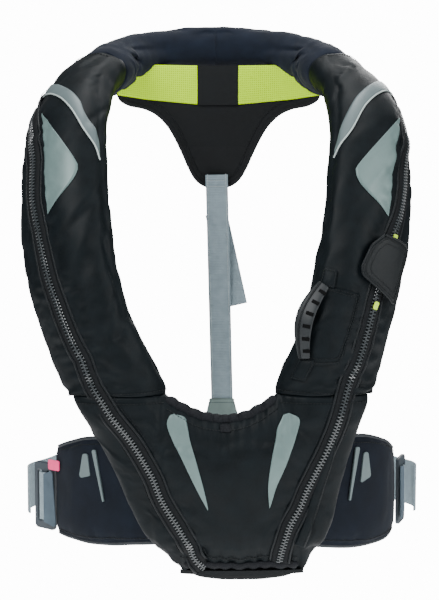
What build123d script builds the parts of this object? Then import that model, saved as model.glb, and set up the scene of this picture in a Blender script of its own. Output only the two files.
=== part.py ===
"""Inflatable life jacket: horseshoe cover, neck yoke, belt and the inflation parts inside it.

Origin: middle of the neck-facing side of the yoke, at the nape. +Z up, -Y to the wearer's
front, +X to the wearer's left. Millimetres.
"""
from build123d import *
import os
from collections import namedtuple
from math import cos, radians, sin

os.makedirs("parts", exist_ok=True)

RIGHT, LEFT = -1, 1          # the wearer's sides
FRONT, BACK = (0, 180), (180, 360)

# ---- driving dimensions ----
COVER = 2.5                  # thickness of the padded cover cloth
CLOTH = 0.9                  # thickness of a sewn-on patch
LIFT = 0.6                   # height of a sewn-on patch over the cover
CLEAR = 0.4                  # gap between soft pieces that touch in life
ZIP_TAPE = 15.0              # zip: width of both tapes together
ZIP_CHAIN = 6.5              # width of the closed teeth
STRAP = 25.0                 # back strap webbing
BELT = 50.0                  # waist belt webbing
WEB = 1.8                    # webbing thickness
ZIP_STAND = 1.3              # underside of the zip tape over the cover
TOOTH_STAND = 2.2            # underside of the zip teeth over the cover
TAPE_THICK, TOOTH_THICK = 0.7, 1.3
NECK_R = 137.5               # radius of the yoke round the neck
NECK_ARC = 56.0              # half angle of the yoke, degrees
YOKE_TOP, LINING_FOOT, YOKE_FOOT = 13.0, -31.0, -121.0
CYLINDER_R, CYLINDER_LEN = 14.0, 112.0   # 33 g gas cylinder, to its shoulder
TUBE_R = 6.5                 # oral tube
PANEL_TOP, PANEL_STEP = -320.4, -36.6
BELT_Z = -452.0              # height of the belt at the buckles
BELT_BACK_Z = -415.0         # height of the belt at the middle of the back

# Horseshoe sections from the nape to the chest on the wearer's left: centre, direction of the
# outer face, half width, half thickness outwards and inwards. They are evenly numbered.
HORSESHOE = [
    ((0, 22, 33), (0, 1, 0.2), 20, 19, 19),
    ((62, 13, 31), (0.3, 0.9, 0.35), 21, 20, 19),
    ((103, -20, 19), (0.5, 0.55, 0.7), 26, 21, 19),
    ((128, -60, 3), (0.4, 0.15, 0.9), 33, 22, 19),
    ((146, -100, -25), (0.35, -0.4, 0.8), 41, 23, 19),
    ((153, -140, -64), (0.34, -0.75, 0.5), 45, 24, 19),
    ((152, -166, -115), (0.34, -0.92, 0.2), 46, 25, 19),
    ((147, -182, -170), (0.32, -0.94, 0.1), 47, 26, 19),
    ((137, -190, -222), (0.30, -0.95, 0.05), 48, 26, 19),
    ((122, -195, -272), (0.26, -0.96, 0.0), 49, 26, 19),
    ((102, -198, -320), (0.0, -1.0, 0.0), 50, 26, 19),
]
LAST = len(HORSESHOE) - 1
LOBE_TOP = 3                 # the section where the lobe meets the collar

# Chest panel: half width, y of its middle plane, depth forwards and backwards, every PANEL_STEP.
PANEL = [(151, -198, 26, 19), (135.5, -197, 25, 17), (121, -195, 24, 15), (108, -192.5, 21, 12.5),
         (93, -189, 18, 9.5), (63, -184, 10, 5.5)]
PANEL_CORNER = 0.55          # part of the half width that is rounded

# Soft cloth hangs a little to one side: sideways shift at each height.
HANG = [(60, -2), (-40, -2), (-115, -5), (-195, -7), (-272, -5), (-320, -2), (-360, 3),
        (-443, 12), (-479, 15), (-525, 24)]

Section = namedtuple("Section", "c t n w a front back")


def hang(z):
    """Sideways shift of the cloth at height z."""
    if z >= HANG[0][0]:
        return HANG[0][1]
    for (z0, x0), (z1, x1) in zip(HANG, HANG[1:]):
        if z >= z1:
            return x0 + (x1 - x0) * (z0 - z) / (z0 - z1)
    return HANG[-1][1]


def between(rows, s):
    """Smooth value at s between evenly numbered rows of numbers."""
    i = min(max(int(s), 0), len(rows) - 2)
    f = s - i
    a, b, c, d = (rows[min(max(k, 0), len(rows) - 1)] for k in (i - 1, i, i + 1, i + 2))
    return [0.5 * (2 * q + (r - p) * f + (2 * p - 5 * q + 4 * r - t) * f ** 2
                   + (3 * q - p - 3 * r + t) * f ** 3) for p, q, r, t in zip(a, b, c, d)]


def table(values, s):
    """Straight-line value at s in a list of (s, value) pairs."""
    if s <= values[0][0]:
        return values[0][1]
    for (s0, v0), (s1, v1) in zip(values, values[1:]):
        if s <= s1:
            return v0 + (v1 - v0) * (s - s0) / (s1 - s0)
    return values[-1][1]


ROWS = [[*c, *n, a, front, back] for c, n, a, front, back in HORSESHOE]


def section(side, s):
    """The horseshoe's section at s: 0 is the nape, LAST the top of the chest panel."""
    row = between(ROWS, s)
    if s < 0.02:
        t = Vector(1, 0, 0)
    elif s > LAST - 0.02:
        t = Vector(0, 0, -1)
    else:
        t = (Vector(*between(ROWS, s + 0.01)[:3]) - Vector(*between(ROWS, s - 0.01)[:3])).normalized()
    if LAST - 1 < s <= LAST - 0.02:
        down = s - (LAST - 1)
        t = (t * (1 - down) + Vector(0, 0, -down)).normalized()
    n = Vector(*row[3:6])
    n = (n - t * n.dot(t)).normalized()
    w = t.cross(n)
    c, t, n, w = (Vector(v.X * side, v.Y, v.Z) for v in (Vector(*row[:3]), t, n, w))
    return Section(c + Vector(hang(c.Z), 0, 0), t, n, w, *row[6:])


def on_lobe(side, s, u, lift=0.0):
    """Point and outward normal on the horseshoe: u is 0 at the inner edge and 90 at the front."""
    k = section(side, s)
    cu, su = cos(radians(u)), sin(radians(u))
    depth = k.front if su >= 0 else k.back
    normal = (k.w * (cu / k.a) + k.n * (su / depth)).normalized()
    return k.c + k.w * (k.a * cu) + k.n * (depth * su) + normal * lift, normal


def on_panel(x, z, lift=0.0):
    """Point and outward normal on the front of the chest panel."""
    half, y, front, _ = between(PANEL, (PANEL_TOP - z) / -PANEL_STEP)
    corner = half * PANEL_CORNER
    over = max(abs(x - hang(z)) - (half - corner), 0) / corner
    drop = (1 - min(over, 0.98) ** 2) ** 0.5
    side = 1 if x > hang(z) else -1
    normal = Vector(side * over / corner, -drop / front, 0).normalized()
    return Vector(x, y - front * drop, z) + normal * lift, normal


# ---- shapes ----
def half_ring(k, half, lift, thick):
    """Closed wire of a strip of cloth round half of a section."""
    plane = Plane(origin=k.c, x_dir=k.w, z_dir=k.w.cross(k.n))
    depth = (k.front if half == FRONT else k.back) + lift
    outer = Edge.make_ellipse(k.a + lift, depth, plane, *half)
    inner = Edge.make_ellipse(k.a + lift - thick, depth - thick, plane, *half)
    ends = [Edge.make_line(outer @ 1, inner @ 1), Edge.make_line(inner @ 0, outer @ 0)]
    return Wire([outer, ends[0], inner, ends[1]])


def sewn_ribbon(side, rows, lift, widths, thick):
    """Ribbon that follows points on a lobe."""
    spots = [on_lobe(side, s, u, lift) for s, u in rows]
    return ribbon([p for p, _ in spots], [n for _, n in spots], widths, thick)


def lobe_shell(side, half, lift=0.0, thick=COVER, stops=range(LOBE_TOP, LAST + 1)):
    return Solid.make_loft([half_ring(section(side, s), half, lift, thick) for s in stops])


def collar_shell(half):
    stops = [(RIGHT, s) for s in range(LOBE_TOP, 0, -1)] + [(LEFT, s) for s in range(LOBE_TOP + 1)]
    return Solid.make_loft([half_ring(section(side, s), half, 0, COVER) for side, s in stops])


def collar_room():
    """The collar's whole outside with a little clearance, to be cut from what it sits on."""
    stops = [(RIGHT, s) for s in range(LOBE_TOP, 0, -1)] + [(LEFT, s) for s in range(LOBE_TOP + 1)]
    rooms = []
    for half in (FRONT, BACK):
        wires = []
        for side, s in stops:
            k = section(side, s)
            plane = Plane(origin=k.c, x_dir=k.w, z_dir=k.w.cross(k.n))
            depth = (k.front if half == FRONT else k.back) + CLEAR
            arc = Edge.make_ellipse(k.a + CLEAR, depth, plane, *half)
            wires.append(Wire([arc, Edge.make_line(arc @ 1, arc @ 0)]))
        rooms.append(Solid.make_loft(wires))
    return rooms[0] + rooms[1]


def panel_ring(row, forwards, lift, thick):
    """Closed wire of a strip of cloth round the front or the back of a chest section."""
    half, y, front, back = PANEL[row]
    depth = (front if forwards else back) + lift
    sign = -1 if forwards else 1
    z = PANEL_TOP + row * PANEL_STEP
    corner = half * PANEL_CORNER
    edges = []
    feet = {}
    for layer, inset in (("outer", 0), ("inner", thick)):
        for side in (1, -1):
            plane = Plane(origin=(hang(z) + side * (half - corner), y, z), x_dir=(side, 0, 0),
                          z_dir=(0, 0, side * sign))
            arc = Edge.make_ellipse(corner + lift - inset, depth - inset, plane, 0, 90)
            edges.append(arc)
            feet[layer, side] = arc
        edges.append(Edge.make_line(feet[layer, 1] @ 1, feet[layer, -1] @ 1))
    for side in (1, -1):
        edges.append(Edge.make_line(feet["outer", side] @ 0, feet["inner", side] @ 0))
    return Wire(edges)


def panel_shell(forwards, lift=0.0, thick=COVER):
    return Solid.make_loft([panel_ring(k, forwards, lift, thick) for k in range(len(PANEL))])


def ribbon(points, normals, width, thick):
    """Strap lofted through flat sections, with its underside's middle line on the points."""
    last = len(points) - 1
    widths = width if isinstance(width, (list, tuple)) else [width] * len(points)
    wires = []
    for k, (p, n) in enumerate(zip(points, normals)):
        ahead = (points[min(k + 1, last)] - points[max(k - 1, 0)]).normalized()
        across = ahead.cross(n).normalized() * (widths[k] / 2)
        up = across.cross(ahead).normalized() * thick
        wires.append(Wire.make_polygon([p - across, p + across, p + across + up, p - across + up]))
    return Solid.make_loft(wires)


def prism(points, radii, normal=Vector(0, -1, 0), depth=30):
    """Prism whose rounded outline runs through points, as seen along normal."""
    centre = sum(points, Vector()) / len(points)
    plane = Plane(origin=centre, z_dir=normal)
    flat = [plane.to_local_coords(p) for p in points]
    edge = FilletPolyline(*[(q.X, q.Y) for q in flat], radius=radii, close=True)
    return extrude(plane * make_face(edge), depth, both=True)


def lobe_patch(side, corners, radii, stops, thick=CLOTH, lift=LIFT):
    """Patch sewn on a lobe, with its corners given on the lobe's surface."""
    found = [on_lobe(side, s, u, lift) for s, u in corners]
    normal = sum((n for _, n in found), Vector()).normalized()
    layer = lobe_shell(side, FRONT, lift + thick, thick, stops)
    return layer & prism([p for p, _ in found], radii, normal)


def capsule_tube(start, end, radius):
    way = end - start
    return Solid.make_cylinder(radius, way.length, Plane(origin=start, z_dir=way.normalized()))


def block(centre, x_dir, z_dir, size, rounding=0.0):
    """Rounded block: size along x_dir, across it, and along z_dir."""
    made = Box(*size)
    if rounding:
        made = fillet(made.edges().filter_by(Axis.Z), rounding)
    return Plane(origin=centre, x_dir=x_dir, z_dir=z_dir) * made


# ---- covers ----
def neck_cut():
    """The space above the chest panel's curved top edge."""
    half = 64
    pts = [Vector(x + hang(-330), -200, z) for x, z in
           ((-half, -300), (-half + 2, -309), (-42, -330), (-15, -342), (15, -342), (42, -330),
            (half - 2, -309), (half, -300))]
    return prism(pts, [1, 8, 30, 30, 30, 30, 8, 1], depth=60)


def covers():
    parts = {}
    for name, side in (("right", RIGHT), ("left", LEFT)):
        parts[f"lobe_cover_{name}"] = lobe_shell(side, FRONT)
        parts[f"lobe_backing_{name}"] = lobe_shell(side, BACK)
    parts["collar_cover"] = collar_shell(FRONT)
    parts["collar_neck_side"] = collar_shell(BACK)
    cut = neck_cut()
    parts["chest_panel"] = panel_shell(True) - cut
    parts["chest_backing"] = panel_shell(False) - cut
    return parts


def neck_binding():
    """Elastic band along the curved top edge of the chest panel."""
    line = [(-56, -313), (-41, -327), (-15, -338.5), (15, -338.5), (41, -327), (56, -313)]
    pts = [Vector(x + hang(-330), -199, z) for x, z in line]
    low = [p + Vector(0, 0, -2.2) for p in pts]
    high = [p + Vector(0, 0, 2.2) for p in pts]
    return prism(low + high[::-1], [0.4, 20, 25, 25, 20, 0.4] * 2, depth=20)


PAD_THICK, PAD_BEHIND = 4.0, 10.4    # hem pad: thickness, and middle behind the hem band's middle


def hem():
    """Band that closes the bottom of the chest panel, and the pad behind it."""
    half, y, front, back = PANEL[-1]
    z = PANEL_TOP + (len(PANEL) - 1) * PANEL_STEP
    mid = y + (back - front) / 2
    band = Plane(origin=(hang(z), mid, z - 4.4)) * extrude(Ellipse(half, (front + back) / 2), 4)
    pad_line = [Vector(hang(z) + x, mid + PAD_BEHIND, z + dz) for x, dz in
                ((-64, 22), (-56, -4), (-36, -10), (36, -10), (58, -4), (66, 22))]
    pad = prism(pad_line, [3, 8, 10, 10, 8, 3], depth=PAD_THICK / 2)
    return {"chest_hem": band, "hem_pad": pad}


def welt():
    """Flat outer welt beside the zip, at the lower left of the chest panel."""
    line = ((112, -352), (104, -385), (93, -418), (84, -446), (74, -474))
    spots = [on_panel(x + hang(z) * 0.35, z, LIFT) for x, z in line]
    return ribbon([p for p, _ in spots], [n for _, n in spots], 10, CLOTH)


# ---- neck yoke ----
def yoke_sector(inner, outer, z, shift, arc=NECK_ARC):
    """Closed wire of the yoke's bow at one height."""
    plane = Plane(origin=(0, shift - NECK_R, z))
    a0, a1 = 90 - arc, 90 + arc
    near = Edge.make_circle(inner, plane, a0, a1)
    far = Edge.make_circle(outer, plane, a0, a1)
    return Wire([near, Edge.make_line(near @ 1, far @ 1), far, Edge.make_line(far @ 0, near @ 0)])


def yoke():
    parts = {}
    roll = collar_room()
    wall = Solid.make_loft([yoke_sector(NECK_R + 3.4, NECK_R + 10, z, y) for z, y in
                            ((YOKE_TOP, 0), (LINING_FOOT, 0), (-76, 8), (YOKE_FOOT, 22))], True)
    half_line = [(108, YOKE_TOP + 5), (108, -26), (76, -34), (52, -52), (36, -84), (24, -114),
                 (14, YOKE_FOOT + 0.5)]
    pts = [Vector(x, 0, z) for x, z in half_line] + [Vector(-x, 0, z) for x, z in half_line[::-1]]
    radii = [1, 2, 25, 40, 40, 12, 8]
    parts["back_yoke"] = wall & prism(pts, radii + radii[::-1], depth=70)
    parts["back_yoke"] -= roll
    bow = Solid.make_loft([yoke_sector(NECK_R, NECK_R + 3, z, 0) for z in (LINING_FOOT, YOKE_TOP)])
    for name, side in (("right", RIGHT), ("left", LEFT)):
        line = [Vector(side * x, 0, z) for x, z in
                ((22.4, YOKE_TOP - 1), (108, YOKE_TOP - 1), (109, -21), (80, -24.5), (22.4, -30))]
        parts[f"neck_lining_{name}"] = (bow & prism(line, [0.5, 0.5, 2, 30, 0.5], depth=70)) - roll
    strip = [Vector(x, 0, z) for x, z in
             ((-22, YOKE_TOP - 0.5), (22, YOKE_TOP - 0.5), (22, LINING_FOOT + 0.5), (-22, LINING_FOOT + 0.5))]
    parts["nape_strip"] = (bow & prism(strip, [1, 1, 1, 1], depth=70)) - roll
    return parts


# ---- back strap ----
STRAP_TOP, STRAP_FOOT = Vector(-1, 17, -108), Vector(6, 46, -368)
TAIL_TOP = Vector(-1, 38, -152)
TAIL_LEAN, TAIL_LEN = 12.5, 108.0


def back_strap():
    """Strap from the yoke down to the waist belt, with its spare end behind it."""
    fall = (STRAP_FOOT - STRAP_TOP).normalized()
    out = Vector(1, 0, 0).cross(fall)
    parts = {"back_strap": ribbon([STRAP_TOP, STRAP_FOOT], [out, out], STRAP, WEB)}
    lean = Vector(sin(radians(TAIL_LEAN)), 0, -cos(radians(TAIL_LEAN)))
    back = Vector(0, 1, 0)
    parts["strap_tail"] = ribbon([TAIL_TOP, TAIL_TOP + lean * TAIL_LEN], [back, back], STRAP, WEB)
    flare = [Vector(x, STRAP_FOOT.Y, z) for x, z in
             ((-9, -369), (20, -369), (26, -391), (24, -440), (-12, -440), (-14, -391))]
    parts["strap_keeper"] = prism(flare, [3, 3, 12, 3, 3, 12], depth=1.4)
    return parts


# ---- waist belt ----
WAIST_MID = Vector(4, -36, 0)              # middle of the waist, and the half width and depth
WAIST_WIDE, WAIST_DEEP = 214.0, 90.0


def belt_line(side, reach):
    """Points and outward normals round the waist, from the back's middle to the buckle."""
    line = []
    for angle in reach:
        a = radians(angle)
        x, y = WAIST_WIDE * sin(a), WAIST_MID.Y + WAIST_DEEP * cos(a)
        z = BELT_BACK_Z + (BELT_Z - BELT_BACK_Z) * min(angle / 60, 1) ** 2
        normal = Vector(side * sin(a) * WAIST_DEEP, cos(a) * WAIST_WIDE, 0).normalized()
        line.append((Vector(side * x + WAIST_MID.X, y, z), normal))
    return line


def waist_belt():
    reach = (8, 24, 40, 56, 70, 82, 92, 100)
    half = belt_line(LEFT, reach)
    other = belt_line(RIGHT, reach)
    line = other[::-1] + half
    return ribbon([p for p, _ in line], [n for _, n in line], BELT, WEB)


WING = {   # middle line, height and thickness of each padded wing
    LEFT: ((40, -164, -446, 70, 9), (95, -152, -435, 108, 12), (144, -122, -438, 120, 14),
           (176, -92, -443, 108, 12), (188, -72, -446, 88, 8)),
    RIGHT: ((-40, -164, -446, 70, 9), (-92, -152, -432, 108, 12), (-132, -126, -435, 114, 14),
            (-160, -100, -440, 104, 12), (-174, -84, -443, 94, 8)),
}
BUCKLE = {LEFT: (Vector(200, -52, BELT_Z), Vector(0.34, 0.94, 0)),
          RIGHT: (Vector(-189, -69, BELT_Z - 1), Vector(-0.74, 0.67, 0))}
BUCKLE_SIZE = (31.0, 74.0, 4.5)
SLOT_W, SLOT_TALL = 6.5, 56.0


def wing(side):
    wires = []
    rows = WING[side]
    for k, (x, y, z, tall, thick) in enumerate(rows):
        p = Vector(x, y, z)
        a, b = rows[max(k - 1, 0)], rows[min(k + 1, len(rows) - 1)]
        ahead = Vector(b[0] - a[0], b[1] - a[1], 0).normalized()
        plane = Plane(origin=p, x_dir=Vector(0, 0, 1).cross(ahead), z_dir=ahead)
        wires.append((plane * RectangleRounded(thick, tall, thick * 0.45)).face().outer_wire())
    return Solid.make_loft(wires)


def buckle(side):
    """Three-bar webbing buckle between the wing and the belt."""
    centre, along = BUCKLE[side]
    out = along.cross(Vector(0, 0, 1)).normalized()
    frame = RectangleRounded(BUCKLE_SIZE[0], BUCKLE_SIZE[1], 5)
    for x in (-BUCKLE_SIZE[0] / 4 + 0.6, BUCKLE_SIZE[0] / 4 - 0.6):
        frame -= Pos(x, 0) * RectangleRounded(SLOT_W, SLOT_TALL, 2)
    plate = extrude(frame, BUCKLE_SIZE[2] / 2, both=True)
    plate = fillet(plate.edges().filter_by(Plane.XY), 1.2)
    return Plane(origin=centre, x_dir=along, z_dir=out) * plate


def belt_turn(side):
    """Belt webbing folded round the buckle's middle bar: a flat closed sleeve."""
    centre, along = BUCKLE[side]
    out = along.cross(Vector(0, 0, 1)).normalized()
    bar = BUCKLE_SIZE[0] / 2 - SLOT_W - 1.2
    deep = BUCKLE_SIZE[2]
    sleeve = RectangleRounded(bar + 2.4 + 2 * WEB, deep + 1.2 + 2 * WEB, 3.4)
    sleeve -= RectangleRounded(bar + 2.4, deep + 1.2, 1.6)
    solid = extrude(sleeve, SLOT_TALL / 2 - 2, both=True)
    return Plane(origin=centre, x_dir=along, z_dir=Vector(0, 0, 1)) * solid


TAB_STAND = {LEFT: 4.6, RIGHT: 7.4}   # from a buckle's middle plane out to the wing's facing


def end_tab(side):
    """Stiff facing at the end of a wing, which holds the buckle's inner slot."""
    centre, along = BUCKLE[side]
    out = along.cross(Vector(0, 0, 1)).normalized() * side
    x = -BUCKLE_SIZE[0] / 4 + 0.6
    line = [(x + 1.5, 27), (x - 17, 31), (x - 12, -31), (x + 1.5, -26)]
    shape = make_face(FilletPolyline(*line, radius=[1.5, 4, 4, 1.5], close=True))
    return Plane(origin=centre + out * TAB_STAND[side], x_dir=along, z_dir=out) * extrude(shape, 1.2)


def belt_parts():
    parts = {"waist_belt": waist_belt()}
    for name, side in (("right", RIGHT), ("left", LEFT)):
        parts[f"waist_wing_{name}"] = wing(side)
        parts[f"belt_buckle_{name}"] = buckle(side)
        parts[f"belt_turn_{name}"] = belt_turn(side)
        parts[f"wing_end_tab_{name}"] = end_tab(side)
    load = [Vector(x, -157.5, BELT_Z + 2) for x in (-60, 0, 60)]
    parts["chest_webbing"] = ribbon(load, [Vector(0, 1, 0)] * 3, BELT - 5, WEB)
    centre, along = BUCKLE[RIGHT]
    out = along.cross(Vector(0, 0, 1)).normalized() * RIGHT
    spot = centre - along * 24 + out * (TAB_STAND[RIGHT] + 2.6) + Vector(0, 0, 38)
    parts["pull_tab"] = block(spot, along, out, (17, 11, 1), 2)
    return parts


PATCH_RISE = 14.0            # height of the wing patches over the wing's middle


def wing_patch(side, rows):
    """Reflective patches on the front of a wing: points are distance along it and height."""
    made = []
    for pts, radii in rows:
        (x0, y0, z0, _, thick), (x1, y1, *_) = WING[side][2], WING[side][3]
        a, b = Vector(x0, y0, z0), Vector(x1, y1, z0)
        along = (b - a).normalized()
        out = along.cross(Vector(0, 0, 1)).normalized() * side
        face = make_face(FilletPolyline(*pts, radius=radii, close=True))
        plane = Plane(origin=a + out * (thick / 2 + 1.0) + Vector(0, 0, PATCH_RISE), x_dir=along,
                      z_dir=along.cross(Vector(0, 0, 1)))
        made.append(plane * extrude(face, 0.8, both=True))
    return made


# ---- zips ----
ZIP_TURN = {   # angle round the lobe against the section number, shoulder to chest
    RIGHT: [(3.4, 196), (4, 180), (4.5, 158), (5, 138), (5.5, 129), (6.2, 127), (6.8, 119),
            (7.5, 113), (8, 108), (9.15, 102), (9.6, 110), (10, 120)],
    LEFT: [(3.4, 196), (4, 180), (4.5, 160), (5, 150), (5.5, 143), (6, 139), (6.5, 128),
           (7, 115), (7.6, 108), (8, 106), (9, 108), (10, 111)],
}
ZIP_CHEST = {
    RIGHT: [(-112, -340), (-92, -366), (-72, -401), (-62, -426), (-39, -466), (-27, -490), (-20, -501)],
    LEFT: [(117, -340), (108, -365), (88, -408), (79, -430), (68, -454), (60, -479), (58, -494)],
}
SLIDER_AT = 7.45             # section number of the parked slider


def zip_line(side, lift):
    spots = [on_lobe(side, s / 2, table(ZIP_TURN[side], s / 2), lift) for s in range(7, 20)]
    spots += [on_panel(x, z, lift) for x, z in ZIP_CHEST[side]]
    return [p for p, _ in spots], [n for _, n in spots]


def slider_frame():
    """Middle of the slider, the way it runs and the outward normal there."""
    here, out = on_lobe(LEFT, SLIDER_AT, table(ZIP_TURN[LEFT], SLIDER_AT), 0)
    ahead, _ = on_lobe(LEFT, SLIDER_AT + 0.1, table(ZIP_TURN[LEFT], SLIDER_AT + 0.1), 0)
    behind, _ = on_lobe(LEFT, SLIDER_AT - 0.1, table(ZIP_TURN[LEFT], SLIDER_AT - 0.1), 0)
    run = (ahead - behind).normalized()
    return here, run, (out - run * out.dot(run)).normalized()


def zips():
    parts = {}
    for name, side in (("right", RIGHT), ("left", LEFT)):
        parts[f"zip_tape_{name}"] = ribbon(*zip_line(side, ZIP_STAND), ZIP_TAPE, TAPE_THICK)
        parts[f"zip_teeth_{name}"] = ribbon(*zip_line(side, TOOTH_STAND), ZIP_CHAIN, TOOTH_THICK)
    here, run, out = slider_frame()
    across = run.cross(out)
    top = block(here + out * 5.0, run, out, (15, 12, 1.6), 2.5)
    for k in (-1, 1):
        top += block(here + out * 3.9 + across * (k * 5.3), run, out, (12, 1.4, 2.4))
    parts["zip_slider"] = top + block(here + out * 6.7, run, out, (1.2, 1.8, 2.0))
    parts["zip_pull"] = (block(here + out * 6.9 + run * 8, run, out, (20, 7, 0.9), 2)
                         - block(here + out * 6.9, run, out, (2.8, 3.4, 3)))
    marks = [(6.92, 0), (8.12, 0)]
    lime = None
    for s, _ in marks:
        p, n = on_lobe(LEFT, s, table(ZIP_TURN[LEFT], s), 3.9)
        mark = block(p, run, n, (8, 5, 0.8), 1.5)
        lime = mark if lime is None else lime + mark
    parts["zip_end_marks"] = lime
    return parts


FLAP_OUTLINE = [(6.88, 98), (7.1, 84), (7.5, 77), (7.66, 81), (8.0, 122), (8.1, 131), (7.0, 146)]
FLAP_LIFT = 8.2


def flap():
    """Cover flap over the parked slider, sewn along its outer edge."""
    return lobe_patch(LEFT, FLAP_OUTLINE, [4, 6, 6, 5, 2, 2, 4], (6.6, 7, 7.5, 8, 8.4), 1.3, FLAP_LIFT)


# ---- reflective patches ----
def reflectives():
    parts = {}
    stops = (4, 5, 6, 7, 8)
    parts["reflective_triangle_right"] = lobe_patch(
        RIGHT, [(4.72, 117), (5.91, 56), (6.54, 102), (5.9, 106), (5.4, 110)], [1, 9, 1.5, 12, 12], stops)
    parts["reflective_triangle_left"] = lobe_patch(
        LEFT, [(4.81, 122), (5.98, 54), (6.57, 107), (6.1, 109), (5.56, 112)], [1, 9, 1.5, 12, 12], stops)
    stripe = [(3.85, 150), (4.2, 108), (4.55, 80), (4.85, 62), (5.1, 46), (5.35, 30), (5.6, 17)]
    for name, side in (("right", RIGHT), ("left", LEFT)):
        parts[f"shoulder_stripe_{name}"] = sewn_ribbon(side, stripe, 1.0, [9, 10.5, 11, 11, 9, 8, 6], CLOTH)
        drop = [(-58, -341), (-40, -343), (-17, -430), (-19, -434)]
        drop = [Vector(x * -side + (8 if side == LEFT else 0), -218, z) for x, z in drop]
        layer = panel_shell(True, LIFT + CLOTH, CLOTH)
        parts[f"chest_reflector_{name}"] = layer & prism(drop, [7, 7, 1, 1], depth=40)
    parts["wing_reflectors_right"] = Compound(wing_patch(RIGHT, [
        ([(3, 26), (10, 25), (16, -2), (-1, 3)], [3, 3, 3, 2]),
        ([(-9, 31), (-3, 32), (-19, -22), (-21, -21)], [2.5, 2.5, 0.8, 0.8])]))
    parts["wing_reflectors_left"] = Compound(wing_patch(LEFT, [
        ([(8, 28), (1, 28), (-4, -4), (13, 1)], [3, 3, 2, 3]),
        ([(-12, 35), (-5, 36), (-19.5, -20), (-22, -19)], [2.5, 2.5, 0.8, 0.8])]))
    return parts


# ---- grab handle ----
HANDLE_OUT = Vector(-0.5, -0.866, 0)
HANDLE = [(7.98, 38, 3.5, 12), (8.2, 32, 7.5, 16), (8.5, 27, 11, 19), (8.8, 28, 11, 19), (9.1, 35, 7.5, 16),
          (9.33, 46, 3.5, 12)]   # section, angle, stand-off and width


def handle_parts():
    line = [on_lobe(LEFT, s, u)[0] + HANDLE_OUT * stand for s, u, stand, _ in HANDLE]
    widths = [width for *_, width in HANDLE]
    parts = {"grab_handle": ribbon(line, [HANDLE_OUT] * len(line), widths, 4.5)}
    parts["handle_patch"] = lobe_patch(
        LEFT, [(7.99, 14), (7.99, 84), (9.31, 86), (9.45, 40), (9.0, 14), (8.5, 10)],
        [3, 4, 4, 3, 10, 10], (7, 8, 9, 9.9), CLOTH, 0.5)
    ends = None
    for s, u in ((7.82, 36), (9.5, 46)):
        p, n = on_lobe(LEFT, s, u, 2.6)
        ahead = on_lobe(LEFT, s + 0.1, u, 2.6)[0] - p
        pocket = block(p, ahead, n, (9, 18, 3), 3)
        ends = pocket if ends is None else ends + pocket
    parts["handle_end_pockets"] = ends
    return parts


# ---- inside: bladder, gas, oral tube, whistle ----
def bladder_arm(side, stops):
    """Folded bladder from the nape down one lobe, beside the gas cylinder or the oral tube."""
    wires = []
    for s in stops:
        k = section(side, s)
        share = min(max((s - 2) / 2, 0), 1)
        centre = k.c + k.w * (21 * share) + k.n * (2 * share)
        plane = Plane(origin=centre, x_dir=k.w, z_dir=k.w.cross(k.n))
        wires.append(Wire([Edge.make_ellipse(12 + 4 * share, 12 - 3 * share, plane, *half)
                           for half in (FRONT, BACK)]))
    return Solid.make_loft(wires, True)


def bladder():
    """One chamber through both lobes and the collar."""
    collar = (0, 0.5, 1, 1.5, 2, 2.5, 3)
    return (bladder_arm(RIGHT, (*collar, 4, 5, 6, 7, 8.3))
            + bladder_arm(LEFT, (*collar, 4, 5, 6, 7, 8, 9.3)))


def inside_point(side, s, across, out):
    k = section(side, s)
    return k.c + k.w * across + k.n * out


def gas_parts():
    parts = {}
    top = inside_point(RIGHT, 6.5, -14, 5)
    foot = inside_point(RIGHT, 8.9, -14, 5)
    way = (foot - top).normalized()
    plane = Plane(origin=top, z_dir=way)
    profile = Polyline((0, 0), (CYLINDER_R - 4, 0), (CYLINDER_R, 5), (CYLINDER_R, CYLINDER_LEN - 12),
                       (6.5, CYLINDER_LEN), (6.5, CYLINDER_LEN + 9), (0, CYLINDER_LEN + 9), close=True)
    parts["gas_cylinder"] = plane * revolve(Plane.XZ * make_face(profile), Axis.Z)
    mouth = top + way * (CYLINDER_LEN + 9.3)
    side_way = section(RIGHT, 9).w
    side_way = (side_way - way * side_way.dot(way)).normalized()
    face = way.cross(side_way).normalized()
    head = block(mouth + way * 17, way, face, (34, 24, 22), 4)
    parts["firing_head"] = head
    parts["firing_cap"] = capsule_tube(mouth + way * 34.3, mouth + way * 52, 11)
    pivot = mouth + way * 8 + side_way * 16
    parts["firing_lever"] = block(pivot + way * 13.6, way, face, (31, 5, 9), 2)
    parts["lever_pin"] = capsule_tube(pivot - face * 8, pivot - face * 4.9, 1.6)
    return parts, pivot, face


def oral_parts():
    top = inside_point(LEFT, 6.0, -16, 3)
    foot = inside_point(LEFT, 7.7, -18, 5)
    way = (top - foot).normalized()
    long = (top - foot).length
    plane = Plane(origin=foot, z_dir=way)
    tube = plane * Cylinder(TUBE_R, long, align=(Align.CENTER, Align.CENTER, Align.MIN))
    tube -= plane * Pos(0, 0, 4) * Cylinder(TUBE_R - 1.6, long, align=(Align.CENTER, Align.CENTER, Align.MIN))
    stem = Plane(origin=top - way * 9, z_dir=way) * (
        Cylinder(TUBE_R - 2.2, 7, align=(Align.CENTER, Align.CENTER, Align.MIN))
        + Cylinder(1.5, 9.5, align=(Align.CENTER, Align.CENTER, Align.MIN)))
    cap = Plane(origin=top + way * 0.8, z_dir=way) * Cylinder(
        TUBE_R + 0.6, 4, align=(Align.CENTER, Align.CENTER, Align.MIN))
    whistle_at = inside_point(LEFT, 8.9, -16, 3)
    k = section(LEFT, 8.9)
    body = block(whistle_at, k.t, k.n, (42, 15, 12), 4)
    body -= block(whistle_at + k.t * 8 + k.n * 5, k.t, k.n, (6, 10, 8))
    return {"oral_tube": tube, "oral_valve": stem, "oral_tube_cap": cap, "whistle": body}, top, way


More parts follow.
